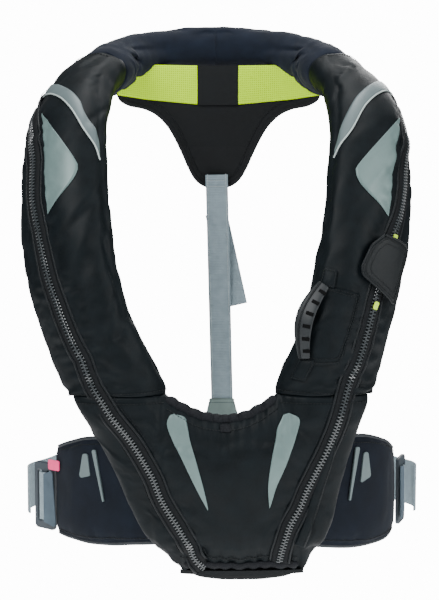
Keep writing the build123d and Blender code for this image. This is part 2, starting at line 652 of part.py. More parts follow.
def main():
    parts = covers()
    parts["neck_binding"] = neck_binding()
    parts.update(hem())
    parts["outer_welt"] = welt()
    parts.update(yoke())
    parts.update(back_strap())
    parts.update(belt_parts())
    parts.update(zips())
    parts["zip_flap"] = flap()
    parts.update(reflectives())
    parts.update(handle_parts())
    parts["bladder"] = bladder()
    gas, pivot, face = gas_parts()
    parts.update(gas)
    oral, tube_top, tube_way = oral_parts()
    parts.update(oral)
    for name, part in parts.items():
        export_step(part, f"parts/{name}.step")
    here, run, out = slider_frame()
    flap_top, _ = on_lobe(LEFT, *FLAP_OUTLINE[-1], FLAP_LIFT)
    flap_foot, _ = on_lobe(LEFT, *FLAP_OUTLINE[-2], FLAP_LIFT)
    handle_top = on_lobe(LEFT, *HANDLE[0][:2])[0] + HANDLE_OUT * (HANDLE[0][2] + 2)
    handle_foot = on_lobe(LEFT, *HANDLE[-1][:2])[0] + HANDLE_OUT * (HANDLE[-1][2] + 2)
    for label, value in (("lever pivot", pivot), ("lever axis", face), ("tube top", tube_top),
                         ("tube way", tube_way), ("slider", here), ("slider run", run), ("slider out", out),
                         ("flap top", flap_top), ("flap foot", flap_foot),
                         ("handle top", handle_top), ("handle foot", handle_foot)):
        print(label, [round(v, 3) for v in value])


main()
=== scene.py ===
import math

import bmesh
import bpy
import numpy as np
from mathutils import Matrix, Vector, noise


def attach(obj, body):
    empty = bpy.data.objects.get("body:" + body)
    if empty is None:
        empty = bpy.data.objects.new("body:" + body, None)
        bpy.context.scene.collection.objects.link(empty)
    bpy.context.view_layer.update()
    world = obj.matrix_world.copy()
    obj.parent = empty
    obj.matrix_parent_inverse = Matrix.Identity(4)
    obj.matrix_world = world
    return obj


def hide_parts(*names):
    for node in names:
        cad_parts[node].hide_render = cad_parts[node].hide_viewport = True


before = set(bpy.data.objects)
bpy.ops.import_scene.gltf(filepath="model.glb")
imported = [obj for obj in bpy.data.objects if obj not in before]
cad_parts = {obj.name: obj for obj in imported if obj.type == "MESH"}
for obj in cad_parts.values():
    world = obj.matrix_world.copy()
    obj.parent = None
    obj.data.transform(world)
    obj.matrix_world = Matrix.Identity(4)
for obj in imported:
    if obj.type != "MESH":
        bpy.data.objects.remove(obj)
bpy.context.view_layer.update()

RIGHT, LEFT = -1, 1          # the wearer's sides
MM = 0.001

# Horseshoe sections of the CAD covers, nape to chest on the wearer's left, in millimetres:
# centre, direction of the outer face, half width, half thickness outwards and inwards.
HORSESHOE = [
    (0, 22, 33, 0, 1, 0.2, 20, 19, 19),
    (62, 13, 31, 0.3, 0.9, 0.35, 21, 20, 19),
    (103, -20, 19, 0.5, 0.55, 0.7, 26, 21, 19),
    (128, -60, 3, 0.4, 0.15, 0.9, 33, 22, 19),
    (146, -100, -25, 0.35, -0.4, 0.8, 41, 23, 19),
    (153, -140, -64, 0.34, -0.75, 0.5, 45, 24, 19),
    (152, -166, -115, 0.34, -0.92, 0.2, 46, 25, 19),
    (147, -182, -170, 0.32, -0.94, 0.1, 47, 26, 19),
    (137, -190, -222, 0.30, -0.95, 0.05, 48, 26, 19),
    (122, -195, -272, 0.26, -0.96, 0.0, 49, 26, 19),
    (102, -198, -320, 0.0, -1.0, 0.0, 50, 26, 19),
]
LAST = len(HORSESHOE) - 1
PANEL = [(151, -198, 26, 19), (135.5, -197, 25, 17), (121, -195, 24, 15), (108, -192.5, 21, 12.5),
         (93, -189, 18, 9.5), (63, -184, 10, 5.5)]
PANEL_TOP, PANEL_STEP, PANEL_CORNER = -320.4, -36.6, 0.55
PANEL_FOOT = PANEL_TOP + PANEL_STEP * (len(PANEL) - 1)
NECK_HALF, NECK_LOW = 57.0, -343.0
LOBE_FOOT = (102, -198, 50, 26, 19)   # x, y, half width, front and back depth where a lobe meets the panel
HANG = [(60, -2), (-40, -2), (-115, -5), (-195, -7), (-272, -5), (-320, -2), (-360, 3),
        (-443, 12), (-479, 15), (-525, 24)]


def hang(z):
    """Sideways shift of the cloth at height z."""
    return float(np.interp(-z, [-h for h, _ in HANG], [x for _, x in HANG]))


def between(rows, s):
    """Smooth value at s between evenly numbered rows of numbers."""
    last = len(rows) - 1
    i = min(max(int(s), 0), last - 1)
    f = s - i
    a, b, c, d = (rows[min(max(k, 0), last)] for k in (i - 1, i, i + 1, i + 2))
    return 0.5 * (2 * b + (c - a) * f + (2 * a - 5 * b + 4 * c - d) * f ** 2
                  + (3 * b - a - 3 * c + d) * f ** 3)


ROWS = np.array(HORSESHOE, float)
PANEL_ROWS = np.array(PANEL, float)


def unit(v):
    return v / max(np.linalg.norm(v), 1e-12)


def section(side, s):
    """Centre, outer and inner directions and sizes of the horseshoe's section at s."""
    row = between(ROWS, s)
    if s < 0.02:
        t = np.array([1.0, 0, 0])
    elif s > LAST - 0.02:
        t = np.array([0, 0, -1.0])
    else:
        t = unit(between(ROWS, s + 0.01)[:3] - between(ROWS, s - 0.01)[:3])
    if LAST - 1 < s <= LAST - 0.02:
        down = s - (LAST - 1)
        t = unit(t * (1 - down) + np.array([0, 0, -down]))
    n = row[3:6]
    n = unit(n - t * n.dot(t))
    w = np.cross(t, n)
    flip = np.array([side, 1, 1])
    return row[:3] * flip + (hang(row[2]), 0, 0), n * flip, w * flip, row[6], row[7], row[8]


END_CREASE = 0.8             # how sharp the rims of a skin's closed ends stay


class Skin:
    """A cloth surface as rows and columns of points, closed round its columns."""

    def __init__(self, name, points, centres):
        self.name = name
        self.points = points
        self.centres = centres
        self.renew()

    def renew(self):
        """Outward normals from the points."""
        along = np.gradient(self.points, axis=0)
        round_ = np.roll(self.points, -1, 1) - np.roll(self.points, 1, 1)
        n = np.cross(along, round_)
        n /= np.maximum(np.linalg.norm(n, axis=2, keepdims=True), 1e-12)
        out = self.points - self.centres[:, None, :]
        if (n * out).sum() < 0:
            n = -n
        self.normals = n

    def at(self, row, column, lift=0.0):
        """Point and normal at a fractional row and column, lifted in millimetres."""
        rows, columns = self.points.shape[:2]
        i = min(max(row, 0), rows - 1.001)
        j = column % columns
        i0, j0 = int(i), int(j)
        fi, fj = i - i0, j - j0
        j1 = (j0 + 1) % columns

        def mix(a):
            return ((a[i0, j0] * (1 - fj) + a[i0, j1] * fj) * (1 - fi)
                    + (a[i0 + 1, j0] * (1 - fj) + a[i0 + 1, j1] * fj) * fi)
        n = unit(mix(self.normals))
        return mix(self.points) + n * (lift * MM), n

    def build(self, ends=False):
        """The skin as a mesh object, with a UV map in metres."""
        rows, columns = self.points.shape[:2]
        verts = self.points.reshape(-1, 3)
        faces = grid_faces(rows, columns, True)
        if ends:
            for base in (0, (rows - 1) * columns):
                for j in range(columns // 2):
                    corners = (base + j, base + j + 1, base + (columns - j - 1) % columns,
                               base + (columns - j) % columns)
                    faces.append(tuple(dict.fromkeys(corners)))
        obj = new_mesh(self.name, verts, faces)
        if ends:
            crease = obj.data.attributes.new("crease_edge", "FLOAT", "EDGE")
            for edge in obj.data.edges:
                i, j = (v // columns for v in edge.vertices)
                if i == j and i in (0, rows - 1):
                    crease.data[edge.index].value = END_CREASE
        down = np.linalg.norm(np.diff(self.points, axis=0), axis=2).mean(1)
        down = np.concatenate([[0], np.cumsum(down)])
        around = np.linalg.norm(np.roll(self.points, -1, 1) - self.points, axis=2).mean(0)
        around = np.concatenate([[0], np.cumsum(around)])
        uv = obj.data.uv_layers.new(name="cloth")
        for poly in obj.data.polygons:
            cols = [obj.data.loops[k].vertex_index % columns for k in poly.loop_indices]
            wraps = max(cols) - min(cols) > columns // 2
            for k, col in zip(poly.loop_indices, cols):
                row = obj.data.loops[k].vertex_index // columns
                uv.data[k].uv = (around[columns if wraps and col == 0 else col], down[row])
        return obj


# ---- mesh helpers ----
def grid_faces(rows, columns, closed=False):
    """Quads between rows of points, closed round the columns when asked."""
    return [(i * columns + j, i * columns + (j + 1) % columns,
             (i + 1) * columns + (j + 1) % columns, (i + 1) * columns + j)
            for i in range(rows - 1) for j in range(columns if closed else columns - 1)]


def caps(rows, columns):
    """Faces over the first and the last row."""
    return [tuple(range(columns)), tuple((rows - 1) * columns + j for j in range(columns))]


def turn(sides):
    return [2 * math.pi * c / sides for c in range(sides)]


def squared(value, power):
    """A sine or cosine bent towards a square section."""
    return math.copysign(abs(value) ** power, value)


def lay_cloth(obj, place):
    """UV map in metres, which place gives for each vertex."""
    uv = obj.data.uv_layers.new(name="cloth")
    for loop in obj.data.loops:
        uv.data[loop.index].uv = place(loop.vertex_index)


def new_mesh(name, verts, faces, smooth=True):
    mesh = bpy.data.meshes.new(name)
    mesh.from_pydata([tuple(map(float, v)) for v in verts], [], faces)
    bm = bmesh.new()
    bm.from_mesh(mesh)
    bmesh.ops.recalc_face_normals(bm, faces=bm.faces)
    bm.to_mesh(mesh)
    bm.free()
    if smooth:
        mesh.polygons.foreach_set("use_smooth", [True] * len(mesh.polygons))
    obj = bpy.data.objects.new(name, mesh)
    bpy.context.scene.collection.objects.link(obj)
    return obj


def sewn(obj, material, body="jacket", replaces=()):
    """Gives a piece its material and slot, and the body that it rides."""
    obj.data.materials.clear()
    obj.data.materials.append(MAT[material])
    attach(obj, body)
    if replaces:
        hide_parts(*replaces)


def solidify(obj, thick, offset=1.0):
    mod = obj.modifiers.new("thickness", "SOLIDIFY")
    mod.thickness = thick * MM
    mod.offset = offset
    return obj


def subdivide(obj, levels=1):
    mod = obj.modifiers.new("smooth", "SUBSURF")
    mod.levels = mod.render_levels = levels
    return obj


def resample(points, count):
    """Points evenly spaced along a smooth curve through the given ones."""
    pts = np.array(points, float)
    dense = np.array([between(pts, s) for s in np.linspace(0, len(pts) - 1, len(pts) * 12)])
    length = np.concatenate([[0], np.cumsum(np.linalg.norm(np.diff(dense, axis=0), axis=1))])
    at = np.linspace(0, length[-1], count)
    return np.array([np.interp(at, length, dense[:, k]) for k in range(pts.shape[1])]).T


class Track:
    """A line on the cloth: points with their running, sideways and outward directions."""

    def __init__(self, spots, step=1.6):
        p = np.array([s[0] for s in spots])
        n = np.array([s[1] for s in spots])
        length = np.concatenate([[0], np.cumsum(np.linalg.norm(np.diff(p, axis=0), axis=1))])
        count = max(int(length[-1] / (step * MM)), 4)
        at = np.linspace(0, length[-1], count)
        self.p = np.array([np.interp(at, length, p[:, k]) for k in range(3)]).T
        self.n = np.array([np.interp(at, length, n[:, k]) for k in range(3)]).T
        for _ in range(3):
            self.p[1:-1] = (self.p[:-2] + 2 * self.p[1:-1] + self.p[2:]) / 4
            self.n[1:-1] = (self.n[:-2] + 2 * self.n[1:-1] + self.n[2:]) / 4
        self.at, self.length = at, length[-1]
        t = np.gradient(self.p, axis=0)
        self.t = t / np.linalg.norm(t, axis=1, keepdims=True)
        self.n -= self.t * (self.n * self.t).sum(1, keepdims=True)
        self.n /= np.linalg.norm(self.n, axis=1, keepdims=True)
        self.a = np.cross(self.t, self.n)

    def frame(self, d):
        k = [[np.interp(d, self.at, m[:, c]) for c in range(3)] for m in (self.p, self.t, self.a, self.n)]
        return [np.array(v) for v in k]


BEND = 48.0                  # radius of the cloth across a track, in millimetres
TUBE_ACROSS = np.array([0.13, -0.97, 0.2])   # no cord runs this way


def beside(p, a, n, offset, lift):
    """Place at a sideways offset and a lift from a track, on cloth that falls away from it."""
    return p + a * (offset * MM) + n * ((lift - offset * offset / (2 * BEND)) * MM)


def ribbon(name, track, offsets, lifts, thick):
    """Strip along a track: columns at sideways offsets and lifts in millimetres."""
    count = len(offsets)
    verts = [beside(p, a, n, o, lift) for p, a, n in zip(track.p, track.a, track.n)
             for o, lift in zip(offsets, lifts)]
    obj = new_mesh(name, verts, grid_faces(len(track.p), count))
    lay_cloth(obj, lambda v: (offsets[v % count] * MM, track.at[v // count]))
    return solidify(obj, thick)


def track_tube(name, track, offset, lift, radius, sides=8):
    """Round cord beside a track."""
    p = beside(track.p, track.a, track.n, offset, lift)
    t = np.gradient(p, axis=0)
    t /= np.maximum(np.linalg.norm(t, axis=1, keepdims=True), 1e-12)
    verts = []
    for point, ahead in zip(p, t):
        a = unit(np.cross(ahead, TUBE_ACROSS))
        b = np.cross(ahead, a)
        verts += [point + (a * math.cos(q) + b * math.sin(q)) * radius * MM for q in turn(sides)]
    return new_mesh(name, verts, grid_faces(len(p), sides, True) + caps(len(p), sides))


def small_blocks(name, frames, size):
    """Many little bevelled blocks: each frame is a point with three directions."""
    verts, faces = [], []
    lx, ly, lz = (v / 2 * MM for v in size)
    chamfer = min(lx, ly) * 0.45
    for p, x, y, z in frames:
        base = len(verts)
        for h, inset in ((-lz, 0), (lz * 0.45, 0), (lz, chamfer)):
            for sx, sy in ((-1, -1), (1, -1), (1, 1), (-1, 1)):
                verts.append(p + x * (sx * (lx - inset)) + y * (sy * (ly - inset)) + z * h)
        faces += [tuple(base + v for v in face) for face in grid_faces(3, 4, True)]
        faces += [tuple(base + c for c in (3, 2, 1, 0)), tuple(base + 8 + c for c in range(4))]
    return new_mesh(name, verts, faces, False)


def stitches(name, track, offset, lift, pitch=3.4, long=2.3):
    """Sewing thread as a row of short raised dashes beside a track."""
    frames = []
    d = 0.0
    while d < track.length:
        p, t, a, n = track.frame(d)
        frames.append((beside(p, a, n, offset, lift), t, a, n))
        d += pitch * MM
    return small_blocks(name, frames, (long, THREAD, THREAD))


THREAD = 0.7                 # width of a stitch


def face_out(obj, face, out):
    """Turns a patch so that one of its faces points out."""
    if obj.data.polygons[face].normal.dot(Vector(out)) < 0:
        obj.data.flip_normals()


def ruled(name, near, far, locate, lift, thick, rows=24, columns=10, crown=0.0):
    """Cloth patch between two edge lines given in a skin's own coordinates."""
    a, b = resample(near, rows), resample(far, rows)
    verts = []
    for i in range(rows):
        for j in range(columns):
            f = j / (columns - 1)
            edge = 1 - (2 * f - 1) ** 2
            tall = lift + crown * edge * (1 - (2 * i / (rows - 1) - 1) ** 4)
            q = a[i] * (1 - f) + b[i] * f
            verts.append(locate(q[0], q[1], tall)[0])
    obj = new_mesh(name, verts, grid_faces(rows, columns))
    face_out(obj, len(obj.data.polygons) // 2, locate(*(a[rows // 2] + b[rows // 2]) / 2, 0)[1])
    points = np.array(verts).reshape(rows, columns, 3)
    long_side = np.linalg.norm(np.diff(points[:, 0], axis=0), axis=1).sum()
    wide = np.linalg.norm(points[rows // 2, 0] - points[rows // 2, -1])
    lay_cloth(obj, lambda v: (wide * (v % columns) / (columns - 1), long_side * (v // columns) / (rows - 1)))
    return solidify(obj, thick)


# ---- materials ----
def node_material(name, color, rough=0.8, sheen=0.0, metallic=0.0, coat=0.0, specular=0.5):
    mat = bpy.data.materials.new(name)
    mat.use_nodes = True
    nodes, links = mat.node_tree.nodes, mat.node_tree.links
    shader = nodes["Principled BSDF"]
    shader.inputs["Base Color"].default_value = (*color, 1)
    shader.inputs["Roughness"].default_value = rough
    shader.inputs["Metallic"].default_value = metallic
    shader.inputs["Sheen Weight"].default_value = sheen
    shader.inputs["Sheen Roughness"].default_value = 0.45
    shader.inputs["Coat Weight"].default_value = coat
    shader.inputs["Specular IOR Level"].default_value = specular
    return mat, nodes, links, shader


def noise_node(nodes, links, coords, scale, detail=2.0):
    tex = nodes.new("ShaderNodeTexNoise")
    tex.inputs["Scale"].default_value = scale
    tex.inputs["Detail"].default_value = detail
    links.new(coords, tex.inputs["Vector"])
    return tex.outputs["Fac"]


def cell_node(nodes, links, coords, pitch, randomness=1.0):
    """Distance from the nearest of cells a pitch apart, in millimetres."""
    cells = nodes.new("ShaderNodeTexVoronoi")
    cells.inputs["Scale"].default_value = 1 / (pitch * MM)
    cells.inputs["Randomness"].default_value = randomness
    links.new(coords, cells.inputs["Vector"])
    return cells.outputs["Distance"]


def tint(nodes, links, shader, factor, stops):
    """Base colour from a factor, between two stops of position and colour."""
    ramp = nodes.new("ShaderNodeValToRGB")
    for element, (position, color) in zip(ramp.color_ramp.elements, stops):
        element.position = position
        element.color = (*color, 1)
    links.new(factor, ramp.inputs["Fac"])
    links.new(ramp.outputs["Color"], shader.inputs["Base Color"])


def emboss(nodes, links, shader, height, strength, depth):
    """Bump from a height, depth in millimetres."""
    bump = nodes.new("ShaderNodeBump")
    bump.inputs["Strength"].default_value = strength
    bump.inputs["Distance"].default_value = depth * MM
    links.new(height, bump.inputs["Height"])
    links.new(bump.outputs["Normal"], shader.inputs["Normal"])


def vary(nodes, links, shader, coords, color, amount, scale, rough, rough_amount=0.12):
    """Uneven colour and roughness from noise."""
    factor = noise_node(nodes, links, coords, scale, 6)
    tint(nodes, links, shader, factor, ((0.3, [c * (1 - amount) for c in color]),
                                        (0.7, [min(c * (1 + amount), 1) for c in color])))
    span = nodes.new("ShaderNodeMapRange")
    span.inputs["To Min"].default_value = rough - rough_amount
    span.inputs["To Max"].default_value = min(rough + rough_amount, 1)
    links.new(factor, span.inputs["Value"])
    links.new(span.outputs["Result"], shader.inputs["Roughness"])


WAVE_PERIOD = 0.314          # period of Blender's band wave at scale 1


def weave(nodes, links, shader, coords, pitch, depth, cross, strength, axes):
    """Woven threads as bump: bands both ways, pitch in millimetres."""
    bands = []
    for axis, share in zip(axes, (1.0, cross)):
        wave = nodes.new("ShaderNodeTexWave")
        wave.wave_type = "BANDS"
        wave.bands_direction = axis
        wave.inputs["Scale"].default_value = WAVE_PERIOD / (pitch * share * MM)
        wave.inputs["Distortion"].default_value = 0.4
        wave.inputs["Detail"].default_value = 1.0
        links.new(coords, wave.inputs["Vector"])
        bands.append(wave)
    join = nodes.new("ShaderNodeMath")
    join.operation = "MULTIPLY"
    for band, socket in zip(bands, join.inputs):
        links.new(band.outputs["Fac"], socket)
    emboss(nodes, links, shader, join.outputs["Value"], strength, depth)


def coordinates(nodes, kind):
    return nodes.new("ShaderNodeTexCoord").outputs[kind]


def woven(name, color, pitch=0.9, depth=0.25, rough=0.62, sheen=0.25, amount=0.18, kind="UV",
          cross=1.0, specular=0.5, axes=("X", "Y"), scale=60, strength=0.5):
    mat, nodes, links, shader = node_material(name, color, rough, sheen, specular=specular)
    coords = coordinates(nodes, kind)
    vary(nodes, links, shader, coords, color, amount, scale, rough)
    weave(nodes, links, shader, coords, pitch, depth, cross, strength, axes)
    return mat


def moulded(name, color, rough=0.4, coat=0.0, specular=0.5, grain=0.08):
    mat, nodes, links, shader = node_material(name, color, rough, coat=coat, specular=specular)
    coords = coordinates(nodes, "Object")
    vary(nodes, links, shader, coords, color, 0.08, 90, rough, 0.06)
    emboss(nodes, links, shader, noise_node(nodes, links, coords, 1800), 0.25, grain)
    return mat


def fleece(name, color, kind="UV"):
    """Soft brushed cloth: fine fuzz instead of threads."""
    mat, nodes, links, shader = node_material(name, color, 0.95, 0.05, specular=0.12)
    coords = coordinates(nodes, kind)
    vary(nodes, links, shader, coords, color, 0.22, 45, 0.92, 0.06)
    emboss(nodes, links, shader, noise_node(nodes, links, coords, 1400, 4), 0.55, 0.35)
    return mat


def mesh_cloth(name, color, painted_glow):
    """Fluorescent spacer mesh: small round holes in a grid, darkened as painted shade, with an emission that
    is a painted glow.
    """
    mat, nodes, links, shader = node_material(name, color, 0.8, 0.0, specular=0.0)
    # painted glow: the emission brightens the lime, though the lining is no lamp
    shader.inputs["Emission Color"].default_value = (*painted_glow, 1)
    shader.inputs["Emission Strength"].default_value = 0.3
    coords = coordinates(nodes, "UV")
    cells = cell_node(nodes, links, coords, 2.4, 0.12)
    # painted shade: the holes are darkened to 0.42 of the cloth's colour
    tint(nodes, links, shader, cells, ((0.16, [c * 0.42 for c in color]), (0.34, color)))
    emboss(nodes, links, shader, cells, 0.7, 0.5)
    return mat


def glass_bead(name, color, kind="UV"):
    """Reflective tape: a fine beaded grid with a soft metallic glance."""
    mat, nodes, links, shader = node_material(name, color, 0.5, 0.0, 0.1, specular=0.4)
    coords = coordinates(nodes, kind)
    vary(nodes, links, shader, coords, color, 0.06, 80, 0.45, 0.08)
    emboss(nodes, links, shader, cell_node(nodes, links, coords, 0.8), 0.3, 0.1)
    return mat


BLACK = (0.0025, 0.0045, 0.0058)
ON_OBJECT = {"kind": "Object", "axes": ("X", "Z")}   # for pieces with no UV map
MAT = {
    "cover_cloth": woven("cover_nylon", BLACK, 0.8, 0.14, 0.5, 0.0, 0.25, specular=0.1, strength=0.35),
    "panel_cloth": woven("panel_nylon", BLACK, 0.8, 0.14, 0.52, 0.0, 0.25, specular=0.1, strength=0.35),
    "back_cloth": woven("back_nylon", (0.004, 0.0055, 0.0065), 1.2, 0.3, 0.75, 0.0, specular=0.2,
                        **ON_OBJECT),
    "flap_cloth": woven("flap_cloth", (0.005, 0.0068, 0.0078), 1.0, 0.2, 0.5, 0.0, specular=0.18),
    "collar_cloth": fleece("collar_fleece", (0.006, 0.009, 0.016)),
    "yoke_cloth": woven("yoke_cloth", (0.005, 0.006, 0.007), 1.1, 0.25, 0.85, 0.0, specular=0.2, **ON_OBJECT),
    "elastic_binding": woven("ribbed_elastic", (0.004, 0.005, 0.007), 1.4, 0.4, 0.65, 0.0, specular=0.15),
    # the second colour is the painted glow of the lime lining
    "lime_mesh": mesh_cloth("lime_spacer_mesh", (0.40, 0.64, 0.0), (0.42, 0.75, 0.0)),
    "grey_webbing": woven("grey_webbing", (0.20, 0.265, 0.30), 1.1, 0.6, 0.75, 0.1, 0.12,
                          cross=1.7, scale=120, strength=0.9, **ON_OBJECT),
    "keeper_cloth": woven("keeper_cloth", (0.13, 0.18, 0.17), 1.0, 0.4, 0.9, 0.2, **ON_OBJECT),
    "wing_cloth": fleece("wing_neoprene", (0.005, 0.0075, 0.0125), "Object"),
    "reflective_tape": glass_bead("reflective_tape", (0.098, 0.150, 0.146)),
    "stripe_tape": glass_bead("shoulder_tape", (0.085, 0.115, 0.12)),
    "bright_tape": glass_bead("bright_tape", (0.34, 0.40, 0.39)),
    "wing_reflector": glass_bead("wing_reflector", (0.10, 0.135, 0.14), "Object"),
    "black_plastic": moulded("black_moulding", (0.012, 0.013, 0.014), 0.42),
    "handle_rubber": moulded("handle_rubber", (0.010, 0.013, 0.015), 0.5, specular=0.3, grain=0.1),
    "rib_rubber": moulded("rib_rubber", (0.0015, 0.0018, 0.002), 0.8, specular=0.08, grain=0.05),
    "buckle_plastic": moulded("buckle_moulding", (0.022, 0.032, 0.042), 0.5),
    "tab_cloth": woven("tab_cloth", (0.062, 0.088, 0.112), 1.0, 0.3, 0.8, 0.0, specular=0.2, **ON_OBJECT),
    "zip_tape_cloth": woven("zip_tape_weave", (0.003, 0.004, 0.005), 0.6, 0.2, 0.7, 0.0, specular=0.15),
    "zip_plastic": moulded("zip_tooth_plastic", (0.02, 0.025, 0.028), 0.26, 0.5, 0.6, 0.02),
    "lime_plastic": moulded("lime_plastic", (0.45, 0.7, 0.02), 0.5),
    "pink_cloth": woven("pink_tab_weave", (0.8, 0.04, 0.18), 0.9, 0.3, 0.7, 0.2, **ON_OBJECT),
    "thread": woven("sewing_thread", (0.0065, 0.0085, 0.0095), 0.4, 0.1, 0.6, 0.0, kind="Object",
                    specular=0.14),
    "web_thread": woven("webbing_thread", (0.32, 0.37, 0.39), 0.4, 0.1, 0.6, 0.02, kind="Object"),
    "piping": woven("piping_cloth", (0.0035, 0.0052, 0.0065), 0.5, 0.15, 0.42, 0.0, specular=0.18,
                    **ON_OBJECT),
    "wing_piping": woven("wing_piping", (0.022, 0.026, 0.031), 0.6, 0.15, 0.5, 0.0, specular=0.25,
                         **ON_OBJECT),
    "bladder_cloth": woven("bladder_nylon", (0.75, 0.62, 0.03), 0.9, 0.2, 0.45, 0.1, **ON_OBJECT),
    "steel": moulded("plain_steel", (0.5, 0.5, 0.5), 0.3),
    "head_plastic": moulded("yellow_moulding", (0.6, 0.5, 0.06), 0.4),
    "red_plastic": moulded("red_moulding", (0.6, 0.03, 0.02), 0.35),
    "black_rubber": moulded("tube_rubber", (0.02, 0.02, 0.02), 0.6),
    "orange_plastic": moulded("orange_moulding", (0.8, 0.22, 0.02), 0.35),
}
MAT["steel"].node_tree.nodes["Principled BSDF"].inputs["Metallic"].default_value = 1.0

# ---- camera, light and floor ----
VIEW_TARGET = Vector((0, -0.070, -0.240))
VIEW_AZIMUTH, VIEW_ELEVATION, VIEW_DISTANCE, LENS = -1.5, 6.0, 1.7, 94.8

LAMPS = (("key", (-0.9, -1.5, 0.9), 0.7, 46), ("fill", (1.3, -1.2, 0.3), 0.9, 24),
         ("top", (0.1, 0.1, 1.3), 0.9, 26), ("rim", (0.6, 1.2, 0.6), 0.8, 16))
FLOOR, FLOOR_Z = ((-1.6, -1.3), (1.6, -1.3), (1.6, 0.4), (-1.6, 0.4)), -0.72


def studio():
    a, e = math.radians(VIEW_AZIMUTH), math.radians(VIEW_ELEVATION)
    back = Vector((math.sin(a) * math.cos(e), -math.cos(a) * math.cos(e), math.sin(e)))
    data = bpy.data.cameras.new("camera")
    data.lens, data.sensor_width = LENS, 36
    camera = bpy.data.objects.new("camera", data)
    camera.location = VIEW_TARGET + back * VIEW_DISTANCE
    camera.rotation_euler = back.to_track_quat("Z", "Y").to_euler()
    bpy.context.scene.collection.objects.link(camera)
    bpy.context.scene.camera = camera

    world = bpy.data.worlds.new("studio")
    world.use_nodes = True
    nodes, links = world.node_tree.nodes, world.node_tree.links
    soft = nodes["Background"]
    soft.inputs["Color"].default_value = (1, 1, 1, 1)
    soft.inputs["Strength"].default_value = 0.3
    backdrop = nodes.new("ShaderNodeBackground")
    backdrop.inputs["Color"].default_value = (1, 1, 1, 1)
    backdrop.inputs["Strength"].default_value = 14.0
    seen = nodes.new("ShaderNodeLightPath")
    mix = nodes.new("ShaderNodeMixShader")
    links.new(seen.outputs["Is Camera Ray"], mix.inputs["Fac"])
    links.new(soft.outputs["Background"], mix.inputs[1])
    links.new(backdrop.outputs["Background"], mix.inputs[2])
    links.new(mix.outputs["Shader"], nodes["World Output"].inputs["Surface"])
    bpy.context.scene.world = world

    for name, place, size, power in LAMPS:
        lamp = bpy.data.lights.new(name, "AREA")
        lamp.size, lamp.energy = size, power
        obj = bpy.data.objects.new(name, lamp)
        obj.location = place
        obj.rotation_euler = (Vector(place) - VIEW_TARGET).to_track_quat("Z", "Y").to_euler()
        bpy.context.scene.collection.objects.link(obj)

    floor = new_mesh("floor", [(x, y, FLOOR_Z) for x, y in FLOOR], [(0, 1, 2, 3)])
    mat, _, _, shader = node_material("pale_floor", (0.9, 0.9, 0.9), 0.9, specular=0.1)
    shader.inputs["Emission Color"].default_value = (1, 1, 1, 1)
    shader.inputs["Emission Strength"].default_value = 1.2
    floor.data.materials.append(mat)


# ---- padded skins ----
LOBE_TOP = 3
LOBE_ROWS, LOBE_COLUMNS = 150, 76
COLLAR_ROWS, COLLAR_COLUMNS = 120, 60
START = 0.965                # the skins start slightly small and swell to size


def lobe_skin(side, name, first, last, rows, columns):
    """Skin round the horseshoe from section first to last: with no side, the collar across both."""
    points = np.zeros((rows, columns, 3))
    centres = np.zeros((rows, 3))
    for i, s in enumerate(np.linspace(first, last, rows)):
        c, n, w, a, front, back = section(side or (LEFT if s >= 0 else RIGHT), abs(s))
        centres[i] = c * MM
        for j in range(columns):
            u = 2 * math.pi * j / columns
            depth = front if math.sin(u) >= 0 else back
            points[i, j] = (c + w * (a * START * math.cos(u)) + n * (depth * START * math.sin(u))) * MM
    return Skin(name, points, centres)


def neck_edge(x):
    """Height of the chest panel's top edge at x, measured from its own middle."""
    over = min(abs(x) / NECK_HALF, 1.0)
    return PANEL_TOP if over >= 1 else NECK_LOW + (PANEL_TOP - NECK_LOW) * over ** 2.2


NECK_LINE = np.array([(x, neck_edge(x)) for x in np.linspace(-NECK_HALF + 0.5, NECK_HALF - 0.5, 41)]
                     + [(x, z) for x in (-NECK_HALF, NECK_HALF) for z in (-318, -312, -306)])


def panel_point(f, w, forwards, size=START):
    """A point of the chest panel: f runs across it from -1 to 1, w down it from 0 to 1."""
    z = PANEL_TOP
    for _ in range(6):
        z = neck_edge(between(PANEL_ROWS, (PANEL_TOP - z) / -PANEL_STEP)[0] * f)
    z = z + (PANEL_FOOT - z) * w
    half, y, front, back = between(PANEL_ROWS, (PANEL_TOP - z) / -PANEL_STEP)
    x = half * f
    over = max(abs(f) - (1 - PANEL_CORNER), 0) / PANEL_CORNER
    drop = math.sqrt(max(1 - over ** 2, 0))
    gap = np.hypot(NECK_LINE[:, 0] - x, NECK_LINE[:, 1] - z).min()
    near = min(gap / 34.0, 1.0)
    drop *= 0.16 + 0.84 * math.sqrt(1 - (1 - near) ** 2)
    low = min((z - PANEL_FOOT) / 22.0, 1.0)
    drop *= 0.35 + 0.65 * math.sqrt(max(1 - (1 - low) ** 2, 0))
    mid = y - 3
    depth = -(front - 3) if forwards else back + 3
    deep = mid + depth * drop * size
    over = min(abs(abs(x) - LOBE_FOOT[0]) / LOBE_FOOT[2], 1)
    lobe = LOBE_FOOT[1] + (-LOBE_FOOT[3] if forwards else LOBE_FOOT[4]) * math.sqrt(1 - over ** 2) * size
    share = max(1 - (PANEL_TOP - z) / 46.0, 0) * min(max((abs(x) - 52) / 14, 0), 1)
    share = share * share * (3 - 2 * share)
    return np.array([x * (1 - (1 - size) * 0.5) + hang(z), deep * (1 - share) + lobe * share, z]) * MM


PANEL_ROWS_COUNT, PANEL_COLUMNS = 74, 112


def spread(k, count):
    """Across positions, closer together near the two side edges."""
    f = 2 * k / (count - 1) - 1
    return math.copysign(1 - (1 - abs(f)) ** 1.25, f) if abs(f) < 1 else f


